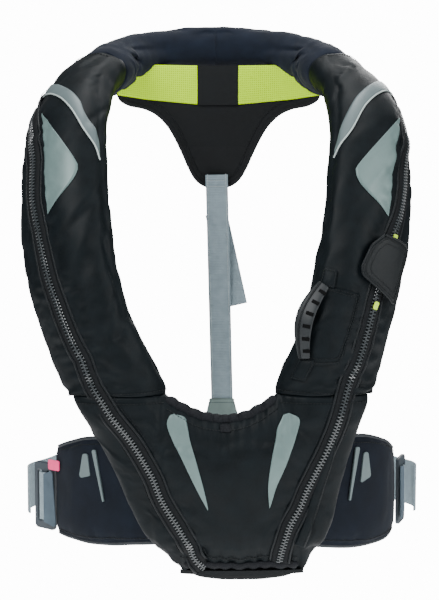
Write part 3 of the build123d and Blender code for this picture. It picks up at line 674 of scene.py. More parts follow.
def panel_skin():
    fs = [spread(k, PANEL_COLUMNS) for k in range(PANEL_COLUMNS)]
    ring = [(f, True) for f in fs] + [(f, False) for f in fs[-2:0:-1]]
    points = np.zeros((PANEL_ROWS_COUNT, len(ring), 3))
    for i in range(PANEL_ROWS_COUNT):
        w = i / (PANEL_ROWS_COUNT - 1)
        for j, (f, forwards) in enumerate(ring):
            points[i, j] = panel_point(f, w, forwards)
    skin = Skin("chest_panel_skin", points, points.mean(1))
    skin.fs = fs
    return skin


EASE_ROWS = 12               # rows over which a skin swells from its sewn ends


def inflate(skin, pinned, cap, pressure, grow, frames=20):
    """Swells a skin as pressurised cloth: outwards only, and within cap millimetres."""
    obj = skin.build()
    obj.name = skin.name + "_sim"
    group = obj.vertex_groups.new(name="pin")
    rows, columns = skin.points.shape[:2]
    group.add([i * columns + j for i, j in sorted(pinned)], 1.0, "REPLACE")
    cloth = obj.modifiers.new("cloth", "CLOTH")
    settings = cloth.settings
    settings.quality = 6
    settings.mass = 0.25
    settings.tension_stiffness = settings.compression_stiffness = 12
    settings.shear_stiffness = 6
    settings.bending_stiffness = 0.4
    settings.use_pressure = True
    settings.uniform_pressure_force = pressure
    settings.shrink_min = -grow
    settings.vertex_group_mass = "pin"
    settings.effector_weights.gravity = 0
    cloth.point_cache.frame_start, cloth.point_cache.frame_end = 1, frames
    scene = bpy.context.scene
    for k in range(1, frames + 1):
        scene.frame_set(k)
    deps = bpy.context.evaluated_depsgraph_get()
    mesh = obj.evaluated_get(deps).to_mesh()
    co = np.zeros(len(mesh.vertices) * 3)
    mesh.vertices.foreach_get("co", co)
    moved = co.reshape(rows, columns, 3) - skin.points
    moved -= skin.normals * np.minimum((moved * skin.normals).sum(2, keepdims=True), 0)
    size = np.linalg.norm(moved, axis=2, keepdims=True)
    soft = cap * MM * np.tanh(size / (cap * MM)) / np.maximum(size, 1e-9)
    from_end = np.minimum(np.arange(rows), np.arange(rows)[::-1])
    soft *= np.minimum(from_end / EASE_ROWS, 1)[:, None, None]
    skin.points = skin.points + moved * soft
    skin.renew()
    scene.frame_set(1)
    bpy.data.objects.remove(obj)


def pins(skin, rows, spots=()):
    """The points that stay where they are: whole rows, and single spots."""
    around = skin.points.shape[1]
    return {*((i, j) for i in rows for j in range(around)), *spots}


def folds(skin, amount):
    """Displaces a skin along its normals by amount(row, column, point) in millimetres."""
    rows, columns = skin.points.shape[:2]
    for i in range(rows):
        for j in range(columns):
            skin.points[i, j] += skin.normals[i, j] * (amount(i, j, skin.points[i, j]) * MM)
    skin.renew()


# ---- places on the skins ----
ZIP_TURN = {
    RIGHT: [(3.4, 196), (4, 180), (4.5, 158), (5, 138), (5.5, 129), (6.2, 127), (6.8, 119),
            (7.5, 113), (8, 108), (9.15, 102), (9.6, 110), (10, 120)],
    LEFT: [(3.4, 196), (4, 180), (4.5, 160), (5, 150), (5.5, 143), (6, 139), (6.5, 128),
           (7, 115), (7.6, 108), (8, 106), (9, 108), (10, 111)],
}
ZIP_CHEST = {
    RIGHT: [(-112, -340), (-92, -366), (-72, -401), (-62, -426), (-39, -466), (-27, -490), (-20, -501)],
    LEFT: [(117, -340), (108, -365), (88, -408), (79, -430), (68, -454), (60, -479), (58, -494)],
}
SKINS = {}


def zip_angle(side, s):
    return float(np.interp(s, *zip(*ZIP_TURN[side])))


def on_lobe(side, s, u, lift=0.0):
    skin = SKINS["lobe", side]
    row = (s - LOBE_TOP) / (LAST - LOBE_TOP) * (LOBE_ROWS - 1)
    return skin.at(row, u / 360 * LOBE_COLUMNS, lift)


def on_panel(x, z, lift=0.0):
    """Point and normal on the front of the chest panel at x and z in millimetres."""
    skin = SKINS["panel"]
    half = between(PANEL_ROWS, (PANEL_TOP - z) / -PANEL_STEP)[0]
    f = min(max((x - hang(z)) / half, -0.999), 0.999)
    top = neck_edge(half * f)
    row = (top - z) / (top - PANEL_FOOT) * (PANEL_ROWS_COUNT - 1)
    return skin.at(row, float(np.interp(f, skin.fs, range(PANEL_COLUMNS))), lift)


def lobe_spot(side):
    return lambda s, u, lift=0.0: on_lobe(side, s, u, lift)


def zip_track(side):
    spots = [on_lobe(side, s, zip_angle(side, s)) for s in np.arange(3.3, 9.7, 0.05)]
    spots += [on_panel(x, z) for x, z in resample(ZIP_CHEST[side], 60)]
    return Track(spots)


def make_skins():
    for side, name in ((RIGHT, "right"), (LEFT, "left")):
        skin = lobe_skin(side, f"lobe_skin_{name}", LOBE_TOP, LAST, LOBE_ROWS, LOBE_COLUMNS)
        held = []
        for i in range(LOBE_ROWS):
            s = LOBE_TOP + (LAST - LOBE_TOP) * i / (LOBE_ROWS - 1)
            j = round(zip_angle(side, s) / 360 * LOBE_COLUMNS) % LOBE_COLUMNS
            held += [(i, (j + k) % LOBE_COLUMNS) for k in range(-4, 6)]
        inflate(skin, pins(skin, (0, LOBE_ROWS - 1), held), 6.0, 4.0, 0.03)
        SKINS["lobe", side] = skin
    collar = lobe_skin(0, "collar_skin", -LOBE_TOP, LOBE_TOP, COLLAR_ROWS, COLLAR_COLUMNS)
    inflate(collar, pins(collar, (0, COLLAR_ROWS - 1)), 4.0, 3.0, 0.03)
    SKINS["collar"] = collar
    panel = panel_skin()
    held = []
    for side in (RIGHT, LEFT):
        for x, z in resample(ZIP_CHEST[side], 90):
            half = between(PANEL_ROWS, (PANEL_TOP - z) / -PANEL_STEP)[0]
            f = min(max((x - hang(z)) / half, -0.99), 0.99)
            top = neck_edge(half * f)
            i = round((top - z) / (top - PANEL_FOOT) * (PANEL_ROWS_COUNT - 1))
            j = round(float(np.interp(f, panel.fs, range(PANEL_COLUMNS))))
            row = min(max(i, 0), PANEL_ROWS_COUNT - 1)
            held += [(row, min(max(j + k, 0), PANEL_COLUMNS - 1)) for k in range(-5, 6)]
    inflate(panel, pins(panel, (0, PANEL_ROWS_COUNT - 1), held), 5.0, 2.5, 0.03)
    SKINS["panel"] = panel


def bump(x, centre, width):
    return math.exp(-((x - centre) / width) ** 2)


def crease_lobe(side):
    """Soft folds: puckers beside the zip, drag lines at the inner edge, and ends drawn in at the seams."""
    skin = SKINS["lobe", side]

    def amount(i, j, _):
        s = LOBE_TOP + (LAST - LOBE_TOP) * i / (LOBE_ROWS - 1)
        u = 360 * j / LOBE_COLUMNS
        gap = (u - zip_angle(side, s) + 180) % 360 - 180
        beside = math.exp(-((abs(gap) - 16) / 12) ** 2)
        ripple = math.sin(s * 19 + 2.2 * math.sin(s * 5 + side))
        ripple *= noise.noise(Vector((s * 2.1, side * 3.1, 0.4)))
        value = 2.6 * beside * ripple
        value -= 1.6 * bump(gap, 0, 7)
        inner = bump((u + 180) % 360 - 180, 8, 34)
        drag = noise.noise(Vector((s * 2.6 + u * 0.012, u * 0.018, side * 5.0)))
        value += 3.4 * inner * drag * (0.3 + 0.7 * min(max((s - 6) / 3, 0), 1))
        lower = min(max((s - 8.6) / 1.4, 0), 1)
        tuck = math.sin(s * 14 + u * 0.09 * side)
        value += 2.2 * lower * tuck * noise.noise(Vector((s * 3, u * 0.03, 7.7)))
        q = math.radians(u)
        value += 2.6 * noise.noise(Vector((s * 1.1, math.cos(q) * 1.3, math.sin(q) * 1.3 + side)))
        slack = noise.noise(Vector((s * 1.6 + 0.02 * u * side, u * 0.011, side * 9.0)))
        value += 1.8 * max(slack, 0) * math.sin(s * 7.5 + u * 0.075 * side + 5 * slack)
        value += shoulder_swell(s, side, skin.normals[i, j])
        for seam in (LOBE_TOP, LAST):
            value -= 1.0 * bump(s, seam, 0.06)
        return value
    folds(skin, amount)


def crease_panel():
    """Gathers below the neck elastic and above the hem, and slack drag lines between."""
    skin = SKINS["panel"]

    def amount(i, j, p):
        w = i / (PANEL_ROWS_COUNT - 1)
        x, z = p[0] / MM, p[2] / MM
        gap = np.hypot(NECK_LINE[:, 0] + hang(z) - x, NECK_LINE[:, 1] - z).min()
        front = j < PANEL_COLUMNS
        value = 0.0
        if front:
            value += 1.6 * math.exp(-gap / 16) * math.sin(x * 0.62 + 1.4 * math.sin(x * 0.11))
            foot = z - PANEL_FOOT
            value += 2.0 * math.exp(-foot / 20) * math.sin(x * 0.46 + 0.8 * math.sin(x * 0.17))
            value += 2.2 * noise.noise(Vector((x * 0.016, z * 0.011, 2.2)))
            value += 1.2 * noise.noise(Vector((x * 0.05 + z * 0.02, z * 0.03, 5.2)))
        value -= 1.0 * bump(w, 0, 0.012) * (1 if abs(x - hang(z)) > NECK_HALF else 0)
        return value
    folds(skin, amount)


def shoulder_swell(s, side, normal):
    """Extra fullness of the collar under its bends, in millimetres."""
    facing = max(normal.dot(unit(np.array([-0.75 * side, -0.25, -0.8]))), 0)
    return 14.0 * facing ** 1.5 * bump(s, 2.6, 1.05)


def crease_collar():
    skin = SKINS["collar"]

    def amount(i, j, _):
        s = -LOBE_TOP + 2 * LOBE_TOP * i / (COLLAR_ROWS - 1)
        u = 2 * math.pi * j / COLLAR_COLUMNS
        value = 1.3 * noise.noise(Vector((s * 1.7, math.cos(u) * 1.2, math.sin(u) * 1.2)))
        value += shoulder_swell(abs(s), math.copysign(1, s), skin.normals[i, j])
        value += 0.8 * noise.noise(Vector((s * 5.0, math.cos(u) * 2.2, math.sin(u) * 2.2 + 4)))
        return value - 1.0 * bump(abs(s), LOBE_TOP, 0.06)
    folds(skin, amount)


def padded_covers():
    make_skins()
    for side in (RIGHT, LEFT):
        crease_lobe(side)
    crease_panel()
    crease_collar()
    for side, name in ((RIGHT, "right"), (LEFT, "left")):
        obj = subdivide(SKINS["lobe", side].build(ends=True))
        sewn(obj, "cover_cloth", replaces=(f"lobe_cover_{name}", f"lobe_backing_{name}"))
    panel = subdivide(SKINS["panel"].build(ends=True))
    sewn(panel, "panel_cloth", replaces=("chest_panel", "chest_backing"))
    collar = subdivide(SKINS["collar"].build(ends=True))
    sewn(collar, "collar_cloth", replaces=("collar_cover", "collar_neck_side"))


# ---- zips ----
TOOTH_PITCH = 3.3
TOOTH = (1.75, 4.3, 2.3)     # along the zip, across it, and outwards


TOOTH_ASIDE, TOOTH_LIFT = 1.25, 3.1   # of a tooth's middle from the zip's middle line


def zip_row(side, name):
    track = zip_track(side)
    tape = ribbon(f"zip_tape_skin_{name}", track, (-8.5, -6.5, -4, -2, 2, 4, 6.5, 8.5),
                  (0.7, 1.6, 1.9, 1.5, 1.5, 1.9, 1.6, 0.7), 0.8)
    sewn(tape, "zip_tape_cloth", replaces=(f"zip_tape_{name}",))
    frames = []
    for k in range(int(track.length / (TOOTH_PITCH / 2 * MM))):
        p, t, a, n = track.frame((k + 0.5) * TOOTH_PITCH / 2 * MM)
        lean = 1 if k % 2 else -1
        frames.append((p + a * (lean * TOOTH_ASIDE * MM) + n * (TOOTH_LIFT * MM), t, a, n))
    teeth = small_blocks(f"zip_chain_{name}", frames, TOOTH)
    sewn(teeth, "zip_plastic", replaces=(f"zip_teeth_{name}",))
    for k, way in enumerate((-1, 1)):
        sewn(track_tube(f"zip_piping_{name}_{k}", track, way * 9.6, 1.3, 1.5), "piping")
    for k, way in enumerate((-1, 1)):
        sewn(stitches(f"zip_stitching_{name}_{k}", track, way * 12.6, 0.7), "thread")


# ---- reflective patches ----
def reflective_parts():
    edges = {
        RIGHT: ([(4.74, 117), (5.3, 83), (5.78, 58), (5.92, 56), (6.1, 64), (6.35, 85), (6.54, 102)],
                [(4.74, 118), (5.05, 113), (5.4, 110), (5.9, 106), (6.2, 104), (6.45, 103), (6.54, 102.5)]),
        LEFT: ([(4.83, 121), (5.35, 86), (5.84, 56), (5.99, 54), (6.16, 63), (6.38, 86), (6.57, 106)],
               [(4.83, 122), (5.2, 116), (5.56, 112), (6.0, 109), (6.25, 108), (6.45, 107.5), (6.57, 107)]),
    }
    stripe = {
        RIGHT: ([(3.83, 142), (4.19, 96), (4.63, 62), (4.95, 48), (5.26, 22), (5.56, 14)],
                [(3.98, 160), (4.42, 101), (4.80, 72), (5.23, 48), (5.50, 27), (5.72, 16)]),
        LEFT: ([(3.79, 136), (4.08, 98), (4.52, 62), (4.78, 46), (5.10, 27), (5.50, 8)],
               [(4.01, 150), (4.30, 106), (4.71, 72), (5.21, 46), (5.45, 27), (5.66, 8)]),
    }
    for side, name in ((RIGHT, "right"), (LEFT, "left")):
        spot = lobe_spot(side)
        near, far = edges[side]
        sewn(ruled(f"triangle_{name}", near, far, spot, 0.5, 0.5, 60, 16), "reflective_tape",
             replaces=(f"reflective_triangle_{name}",))
        near, far = stripe[side]
        sewn(ruled(f"stripe_{name}", near, far, spot, 0.6, 0.7, 70, 8, 0.8), "stripe_tape",
             replaces=(f"shoulder_stripe_{name}",))
        edge = Track([spot(s, u) for s, u in resample(far, 90)])
        sewn(track_tube(f"stripe_piping_{name}", edge, 0, 1.0, 0.9), "bright_tape")
    drops = {
        RIGHT: ([(-56, -342), (-57, -350), (-47, -372), (-34, -400), (-22, -424), (-15.5, -436)],
                [(-50, -339.5), (-39, -343), (-36, -352), (-27, -385), (-19, -415), (-15, -435)]),
        LEFT: ([(60, -339), (56.5, -347), (52, -362), (47, -390), (44.5, -415), (46, -436)],
               [(66, -337), (76, -341), (76, -350), (66, -378), (55, -409), (46.6, -435)]),
    }
    for side, name in ((RIGHT, "right"), (LEFT, "left")):
        near, far = drops[side]
        sewn(ruled(f"chest_drop_{name}", near, far, on_panel, 0.5, 0.5, 40, 10), "reflective_tape",
             replaces=(f"chest_reflector_{name}",))


# ---- patches, welts and trim ----
def on_sections(points):
    """True for places given by section number and angle, not in millimetres."""
    return points[:, 0].max() < 20


def ring_of(outline, count, sharp=2):
    """Closed outline resampled evenly, its corners a little rounded."""
    pts = np.array(list(outline) + [outline[0]], float)
    scale = np.array([25.0, 1.0]) if on_sections(pts) else np.array([1.0, 1.0])
    length = np.concatenate([[0], np.cumsum(np.linalg.norm(np.diff(pts * scale, axis=0), axis=1))])
    at = np.linspace(0, length[-1], count, endpoint=False)
    ring = np.array([np.interp(at, length, pts[:, k]) for k in range(2)]).T
    for _ in range(sharp):
        ring = (np.roll(ring, 1, 0) + 2 * ring + np.roll(ring, -1, 0)) / 4
    return ring


def patch(name, outline, locate, lift, thick, crown=0.0, count=90, rings=9, sharp=2):
    """Sewn cloth patch: rings drawn in from its outline; crown lifts its middle."""
    ring = ring_of(outline, count, sharp)
    middle = ring.mean(0)
    verts, flat = [], []
    for k in range(rings):
        f = 1 - k / (rings - 1) if k < rings - 1 else 0.02
        tall = lift + crown * (1 - f ** 3)
        for q in middle + (ring - middle) * f:
            verts.append(locate(q[0], q[1], tall)[0])
            flat.append(q)
    obj = new_mesh(name, verts, grid_faces(rings, count, True) + caps(rings, count)[1:])
    face_out(obj, -1, locate(middle[0], middle[1], 0)[1])
    down, across = (0.05, 0.0009) if on_sections(ring) else (MM, MM)
    lay_cloth(obj, lambda v: (flat[v][1] * across, flat[v][0] * down))
    return solidify(obj, thick)


def patch_edge(outline, locate, inset, lift, count=200, sharp=2):
    """Track just inside a patch's outline, for its stitching."""
    ring = ring_of(outline, count, sharp)
    middle = ring.mean(0)
    return Track([locate(q[0], q[1], lift) for q in middle + (ring - middle) * inset])


ROD_SIDES = 12


def oval_rod(name, track, wide, deep, ribs=0.0, rib_pitch=3.2, ends=True):
    """Rod with an oval section along a track, ribbed across or with rounded ends when asked."""
    verts = []
    for k in range(len(track.p)):
        tight = 1.0
        if ends:
            near = min(track.at[k], track.length - track.at[k]) / (wide * 0.6 * MM)
            tight = math.sqrt(max(1 - (1 - min(near, 1)) ** 2, 0.02))
        swell = 1 + ribs * math.cos(2 * math.pi * track.at[k] / (rib_pitch * MM))
        for q in turn(ROD_SIDES):
            verts.append(track.p[k] + track.a[k] * (math.cos(q) * wide / 2 * tight * MM)
                         + track.n[k] * (math.sin(q) * deep / 2 * tight * swell * MM))
    obj = new_mesh(name, verts, grid_faces(len(track.p), ROD_SIDES, True) + caps(len(track.p), ROD_SIDES))
    lay_cloth(obj, lambda v: (wide * MM * (v % ROD_SIDES) / ROD_SIDES * 2, track.at[v // ROD_SIDES]))
    return obj


def cad_lobe(side, s, u, lift=0.0):
    """Point on the CAD cover, which doesn't follow the folds."""
    c, n, w, a, front, back = section(side, s)
    q = math.radians(u)
    depth = front if math.sin(q) >= 0 else back
    out = unit(w * (math.cos(q) / a) + n * (math.sin(q) / depth))
    return (c + w * (a * math.cos(q)) + n * (depth * math.sin(q)) + out * lift) * MM, out


def binding_and_hem():
    xs = np.linspace(-NECK_HALF + 1, NECK_HALF - 1, 60)
    spots = []
    for x in xs:
        p, n = on_panel(x + hang(neck_edge(x)), neck_edge(x) - 1.5, 1.0)
        spots.append((p, unit(n * 0.4 + np.array([0, -1.0, 0.15]))))
    track = Track(spots, 0.8)
    sewn(oval_rod("neck_elastic", track, 9.5, 5.2, ribs=0.10), "elastic_binding",
         replaces=("neck_binding",))
    below = Track([on_panel(x * 1.02 + hang(-330), neck_edge(x) - 11.5, 0.4)
                   for x in np.linspace(-54, 54, 60)])
    sewn(stitches("neck_stitching", below, 0, 0.5, 3.2, 2.2), "thread")
    tag = [(-4, -349), (8, -349), (8, -356), (-4, -356)]
    sewn(patch("centre_tag_0", tag, on_panel, 0.8, 0.7, count=40, rings=5), "elastic_binding")
    foot = PANEL_FOOT + 5
    half = PANEL[-1][0]
    line = Track([on_panel(x + hang(foot), foot + 0.02 * abs(x), 0.6)
                  for x in np.linspace(-half + 4, half - 4, 50)])
    sewn(oval_rod("hem_roll", line, 8.5, 5.0, ribs=0.05, rib_pitch=5.0), "elastic_binding")
    back_y = PANEL[-1][1] + 4
    outline = [(hang(PANEL_FOOT) + x, PANEL_FOOT + dz) for x, dz in
               ((-64, 22), (-58, 0), (-46, -7), (-20, -10), (20, -10), (46, -7), (60, -1), (66, 22))]

    def pad_spot(x, z, lift=0.0):
        return np.array([x, back_y - lift, z]) * MM, np.array([0, -1.0, 0])
    sewn(patch("hem_cushion", outline, pad_spot, 0.5, 4.5, 3.5, 110, 10, 5), "back_cloth",
         replaces=("hem_pad",))
    high = Track([on_panel(x + hang(foot + 10), foot + 10, 0.5)
                  for x in np.linspace(-half + 3, half - 3, 50)])
    sewn(stitches("hem_stitching", high, 0, 0.5), "thread")


def seams():
    """Top stitching along the joins between lobes and chest panel, and collar and lobes."""
    for side, name in ((RIGHT, "right"), (LEFT, "left")):
        for k, (s, first, last) in enumerate(((9.9, 10, 170), (3.12, 30, 175))):
            track = Track([on_lobe(side, s, u, 0.3) for u in np.linspace(first, last, 50)])
            sewn(stitches(f"seam_stitching_{name}_{k}", track, 0, 0.4), "thread")
        xs = np.linspace(60, 146, 40) * side
        track = Track([on_panel(x + hang(-326), -327, 0.3) for x in xs])
        sewn(stitches(f"panel_stitching_{name}", track, 0, 0.4), "thread")


WELT = ((112, -352), (104, -385), (93, -418), (84, -446), (74, -474))


def outer_welt():
    line = resample(WELT, 40)
    track = Track([on_panel(x + hang(z) * 0.35, z, 0.4) for x, z in line])
    strip = ribbon("welt_strip", track, (-5, -3.5, 0, 3.5, 5), (0.4, 1.5, 1.8, 1.5, 0.4), 0.8)
    sewn(strip, "panel_cloth", replaces=("outer_welt",))
    sewn(stitches("welt_stitching", track, -3.4, 2.4), "thread")


# ---- flap and grab handle ----
FLAP_OUTLINE = [(6.92, 98), (7.12, 84), (7.5, 77), (7.64, 80), (7.94, 118), (8.03, 128), (7.02, 144)]
HANDLE_OUT = np.array([-0.5, -0.866, 0])
HANDLE = [(7.98, 38, 3.5, 12), (8.2, 32, 7.5, 16), (8.5, 27, 11, 19), (8.8, 28, 11, 19), (9.1, 35, 7.5, 16),
          (9.33, 46, 3.5, 12)]
HANDLE_PATCH = [(7.99, 16), (7.99, 50), (7.99, 84), (8.6, 85), (9.31, 86), (9.4, 62), (9.45, 40), (9.0, 16),
                (8.5, 12)]
POCKETS = ((7.82, 36), (9.5, 46))
RIDGE_SIDE = -1              # the ribbed edge of the grip


def flap_spot(s, u, lift=0.0):
    """Place on the flap, which comes down towards the cloth past the zip."""
    over = min(max((u - 116) / 28, 0), 1)
    return cad_lobe(LEFT, s, u, lift - 3.6 * over * over * (3 - 2 * over))


def flap_parts():
    sewn(patch("flap_cloth", FLAP_OUTLINE, flap_spot, 8.0, 1.3, 0.5, sharp=3), "flap_cloth",
         "flap", ("zip_flap",))
    edge = patch_edge(FLAP_OUTLINE, flap_spot, 1.0, 8.7, sharp=3)
    sewn(oval_rod("flap_edge", edge, 2.6, 2.6, ends=False), "piping", "flap")
    for k, inset in enumerate((0.88, 0.72)):
        line = patch_edge(FLAP_OUTLINE, flap_spot, inset, 9.5, sharp=3)
        sewn(stitches(f"flap_stitching_{k}", line, 0, 0.3, 2.8, 1.9), "thread", "flap")


def handle_parts():
    spot = lobe_spot(LEFT)
    sewn(patch("handle_patch_cloth", HANDLE_PATCH, spot, 0.2, 0.7, 0.3), "panel_cloth",
         replaces=("handle_patch",))
    for k, inset in enumerate((0.95, 0.87)):
        line = patch_edge(HANDLE_PATCH, spot, inset, 0.9)
        sewn(stitches(f"handle_patch_stitching_{k}", line, 0, 0.5, 3.0, 2.1), "thread")
    rows = resample([(*(cad_lobe(LEFT, s, u)[0] / MM + HANDLE_OUT * stand), width)
                     for s, u, stand, width in HANDLE], 70)
    track = Track([(r[:3] * MM, HANDLE_OUT) for r in rows], 0.8)
    verts, sides = [], 20
    count = len(track.p)
    for k in range(count):
        wide = float(np.interp(k / (count - 1), np.linspace(0, 1, len(rows)), rows[:, 3]))
        for q in turn(sides):
            across = squared(math.cos(q), 0.6)
            tall = 2.4 - 0.9 * max(across * RIDGE_SIDE, 0) ** 2
            verts.append(track.p[k] + track.a[k] * (across * wide / 2 * MM)
                         + track.n[k] * ((2.2 + squared(math.sin(q), 0.6) * tall) * MM))
    grip = new_mesh("handle_grip", verts, grid_faces(count, sides, True) + caps(count, sides))
    sewn(grip, "handle_rubber", "handle", ("grab_handle",))
    ribs = []
    for f in (0.1, 0.26, 0.42, 0.58, 0.74, 0.9):
        p, t, a, n = track.frame(f * track.length)
        ribs.append((p + a * (RIDGE_SIDE * 4.4 * MM) + n * (4.4 * MM), a, t, n))
    sewn(small_blocks("handle_ribs", ribs, (8.0, 3.6, 1.0)), "rib_rubber", "handle")
    sewn(track_tube("handle_piping", track, -3.4 * RIDGE_SIDE, 4.9, 1.0), "piping", "handle")
    for k, (s, u) in enumerate(POCKETS):
        box = [(s - 0.16, u - 10), (s - 0.16, u + 11), (s + 0.17, u + 11), (s + 0.17, u - 10)]
        sewn(patch(f"handle_pocket_{k}", box, spot, 0.7, 1.2, 1.6, 60, 7, 3), "panel_cloth",
             replaces=("handle_end_pockets",) if k == 0 else ())
        line = patch_edge(box, spot, 0.86, 2.3, 120, 3)
        sewn(stitches(f"pocket_stitching_{k}", line, 0, 0.5, 2.8, 1.9), "thread")


# ---- waist wings ----
WING = {
    LEFT: ((40, -164, -446, 70, 9), (95, -152, -435, 108, 12), (144, -122, -438, 120, 14),
           (176, -92, -443, 108, 12), (188, -72, -446, 88, 8)),
    RIGHT: ((-40, -164, -446, 70, 9), (-92, -152, -432, 108, 12), (-132, -126, -435, 114, 14),
            (-160, -100, -440, 104, 12), (-174, -84, -443, 94, 8)),
}
WING_ROWS, WING_COLUMNS = 60, 48


def wing_parts():
    for side, name in ((RIGHT, "right"), (LEFT, "left")):
        rows = resample(WING[side], WING_ROWS)
        points = np.zeros((WING_ROWS, WING_COLUMNS, 3))
        ahead = np.gradient(rows[:, :3], axis=0)
        for i, (x, y, z, tall, thick) in enumerate(rows):
            t = unit(np.array([ahead[i][0], ahead[i][1], 0]))
            out = np.cross(t, [0, 0, 1.0]) * side
            for j, q in enumerate(turn(WING_COLUMNS)):
                up, off = squared(math.cos(q), 0.55), squared(math.sin(q), 0.9)
                spot = np.array([x, y, z + up * tall / 2 * 0.985])
                points[i, j] = (spot + out * (off * thick / 2 * 0.9)) * MM
        skin = Skin(f"wing_skin_{name}", points, points.mean(1))
        edges = [(i, j) for i in range(WING_ROWS) for j in (0, WING_COLUMNS // 2)]
        inflate(skin, pins(skin, (0, WING_ROWS - 1), edges), 2.0, 1.5, 0.02, 14)

        def amount(i, j, _, side=side):
            edge = abs(math.cos(2 * math.pi * j / WING_COLUMNS))
            rim = math.exp(-((edge - 0.90) / 0.05) ** 2)
            wave = noise.noise(Vector((i * 0.09, j * 0.16, side * 2.0)))
            return 1.1 * wave - 0.9 * rim
        folds(skin, amount)
        piece = subdivide(skin.build(ends=True))
        sewn(piece, "wing_cloth", replaces=(f"waist_wing_{name}",))
        for k, column in enumerate((0, WING_COLUMNS // 2)):
            line = Track([(skin.points[i, column], skin.normals[i, WING_COLUMNS // 4])
                          for i in range(1, WING_ROWS - 1)])
            sewn(oval_rod(f"wing_piping_{name}_{k}", line, 4.4, 4.4, ends=False), "wing_piping")
        for k, column in enumerate((5, WING_COLUMNS // 2 - 5)):
            line = Track([skin.at(i, column, 0.3) for i in range(3, WING_ROWS - 3)])
            sewn(stitches(f"wing_stitching_{name}_{k}", line, 0, 0.4), "thread")


# ---- neck yoke and linings ----
NECK_R = 137.5               # radius of the yoke round the neck
YOKE_TOP = 13
LINING_NEAR, LINING_FAR = 22.4, 109   # the linings' reach sideways


def neck_arc(x, z, radius):
    """Place on the yoke's bow."""
    shift = float(np.interp(-z, [-13, 31, 76, 121], [0, 0, 8, 22]))
    return np.array([x, shift - NECK_R + math.sqrt(radius ** 2 - x ** 2), z]) * MM


def yoke_facing(x):
    return unit(np.array([-x * 0.9, -NECK_R, 0.0]))


def yoke_parts():
    half = [(107, 6), (107, -20), (98, -29), (80, -33), (66, -40), (54, -52), (45, -67), (37, -84),
            (30, -100), (22, -113), (10, -120)]
    line = resample([*half, *[(-x, z) for x, z in half[::-1]]], 220)
    track = Track([(neck_arc(x, z, NECK_R + 6.4), yoke_facing(x)) for x, z in line])
    sewn(oval_rod("yoke_edge", track, 6.0, 7.6, ends=False), "yoke_cloth")
    inner = resample([(x * 0.93 - 2, z + 5) for x, z in half[1:]]
                     + [(-x * 0.93 + 2, z + 5) for x, z in half[:0:-1]], 220)
    seam = Track([(neck_arc(x, z, NECK_R + 3.0), yoke_facing(x)) for x, z in inner])
    sewn(stitches("yoke_stitching", seam, 0, 0.2), "thread")
    columns, rows = 60, 22
    for side, name in ((RIGHT, "right"), (LEFT, "left")):
        verts = []
        for i in range(rows):
            for j in range(columns):
                x = LINING_NEAR + (LINING_FAR - LINING_NEAR) * j / (columns - 1)
                foot = float(np.interp(x, [LINING_NEAR, 80, LINING_FAR], [-30, -25, -21]))
                f = i / (rows - 1)
                z = YOKE_TOP + (foot - YOKE_TOP) * f
                puff = 2.2 * math.sin(math.pi * min(max(f, 0), 1)) ** 0.5
                puff += 1.3 * noise.noise(Vector((x * 0.05, z * 0.05, side * 3.0)))
                puff += 0.7 * math.sin(x * 0.34 + 0.06 * z) * noise.noise(Vector((x * 0.03, z * 0.08, 9.0)))
                verts.append(neck_arc(side * x, z, NECK_R + 2.2 - puff))
        obj = new_mesh(f"lining_{name}", verts, grid_faces(rows, columns))
        lay_cloth(obj, lambda v: (v % columns * 1.6 * MM, v // columns * 2.0 * MM))
        sewn(subdivide(solidify(obj, 1.2, 0)), "lime_mesh", replaces=(f"neck_lining_{name}",))


# ---- straps ----
STRAP_TOP, STRAP_FOOT = np.array([-1, 17, -108.0]), np.array([6, 46, -368.0])


def level_row(first, last, count, y, z):
    """Level track that faces the front."""
    return Track([(np.array([x, y, z]) * MM, np.array([0, -1.0, 0]))
                  for x in np.linspace(first, last, count)])


def keeper_hem():
    """Folded hem along the keeper's top, over the end of the strap."""
    line = level_row(-9.5, 20.5, 12, 46.2, -368.6)
    sewn(oval_rod("keeper_hem", line, 4.6, 4.6), "keeper_cloth")


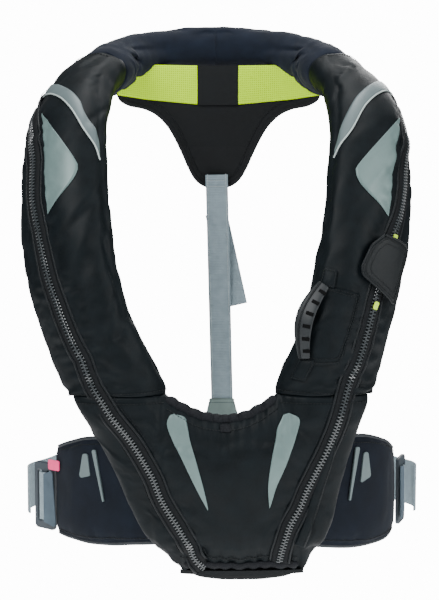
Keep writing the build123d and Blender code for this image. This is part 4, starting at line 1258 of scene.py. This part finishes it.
def strap_stitching():
    facing = np.array([0, -1.0, -0.11])
    whole = Track([(p * MM, facing) for p in np.linspace(STRAP_TOP, STRAP_FOOT, 30)])
    for k, offset in enumerate((-10.2, 10.2)):
        flat = 0.3 + offset ** 2 / (2 * BEND)
        sewn(stitches(f"strap_edge_{k}", whole, offset, flat, 3.0, 2.2), "web_thread")
    for k, z in enumerate((-114, -121)):
        row = Track([((STRAP_TOP + np.array([x, (STRAP_TOP[2] - z) * 0.11, z - STRAP_TOP[2]])) * MM, facing)
                     for x in np.linspace(-10, 10, 9)])
        sewn(stitches(f"strap_bar_{k}", row, 0, 0.4, 2.6, 1.9), "web_thread")
    for k, z in enumerate((-371, -432, -438)):
        row = level_row(-8, 20, 9, 45.2, z)
        sewn(stitches(f"keeper_row_{k}", row, 0, 0.4, 2.8, 2.0), "thread")


# ---- carried-over CAD nodes ----
PLAIN = {
    "back_strap": "grey_webbing", "strap_tail": "grey_webbing", "waist_belt": "grey_webbing",
    "belt_turn_right": "grey_webbing", "belt_turn_left": "grey_webbing", "chest_webbing": "grey_webbing",
    "strap_keeper": "keeper_cloth", "wing_end_tab_right": "tab_cloth", "wing_end_tab_left": "tab_cloth",
    "belt_buckle_right": "buckle_plastic", "belt_buckle_left": "buckle_plastic",
    "zip_slider": "zip_plastic", "zip_pull": "zip_plastic", "zip_end_marks": "lime_plastic",
    "pull_tab": "pink_cloth", "bladder": "bladder_cloth", "gas_cylinder": "steel", "lever_pin": "steel",
    "firing_head": "head_plastic", "firing_cap": "head_plastic", "firing_lever": "red_plastic",
    "oral_valve": "red_plastic", "oral_tube": "black_rubber", "oral_tube_cap": "black_plastic",
    "whistle": "orange_plastic", "chest_hem": "back_cloth",
    "back_yoke": "yoke_cloth", "nape_strip": "yoke_cloth",
    "wing_reflectors_right": "wing_reflector", "wing_reflectors_left": "wing_reflector",
}


def dress_nodes():
    for name, key in PLAIN.items():
        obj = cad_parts[name]
        obj.data.materials.clear()
        obj.data.materials.append(MAT[key])


studio()
padded_covers()
for zip_side, zip_name in ((RIGHT, "right"), (LEFT, "left")):
    zip_row(zip_side, zip_name)
reflective_parts()
binding_and_hem()
seams()
outer_welt()
flap_parts()
handle_parts()
wing_parts()
yoke_parts()
strap_stitching()
keeper_hem()
dress_nodes()
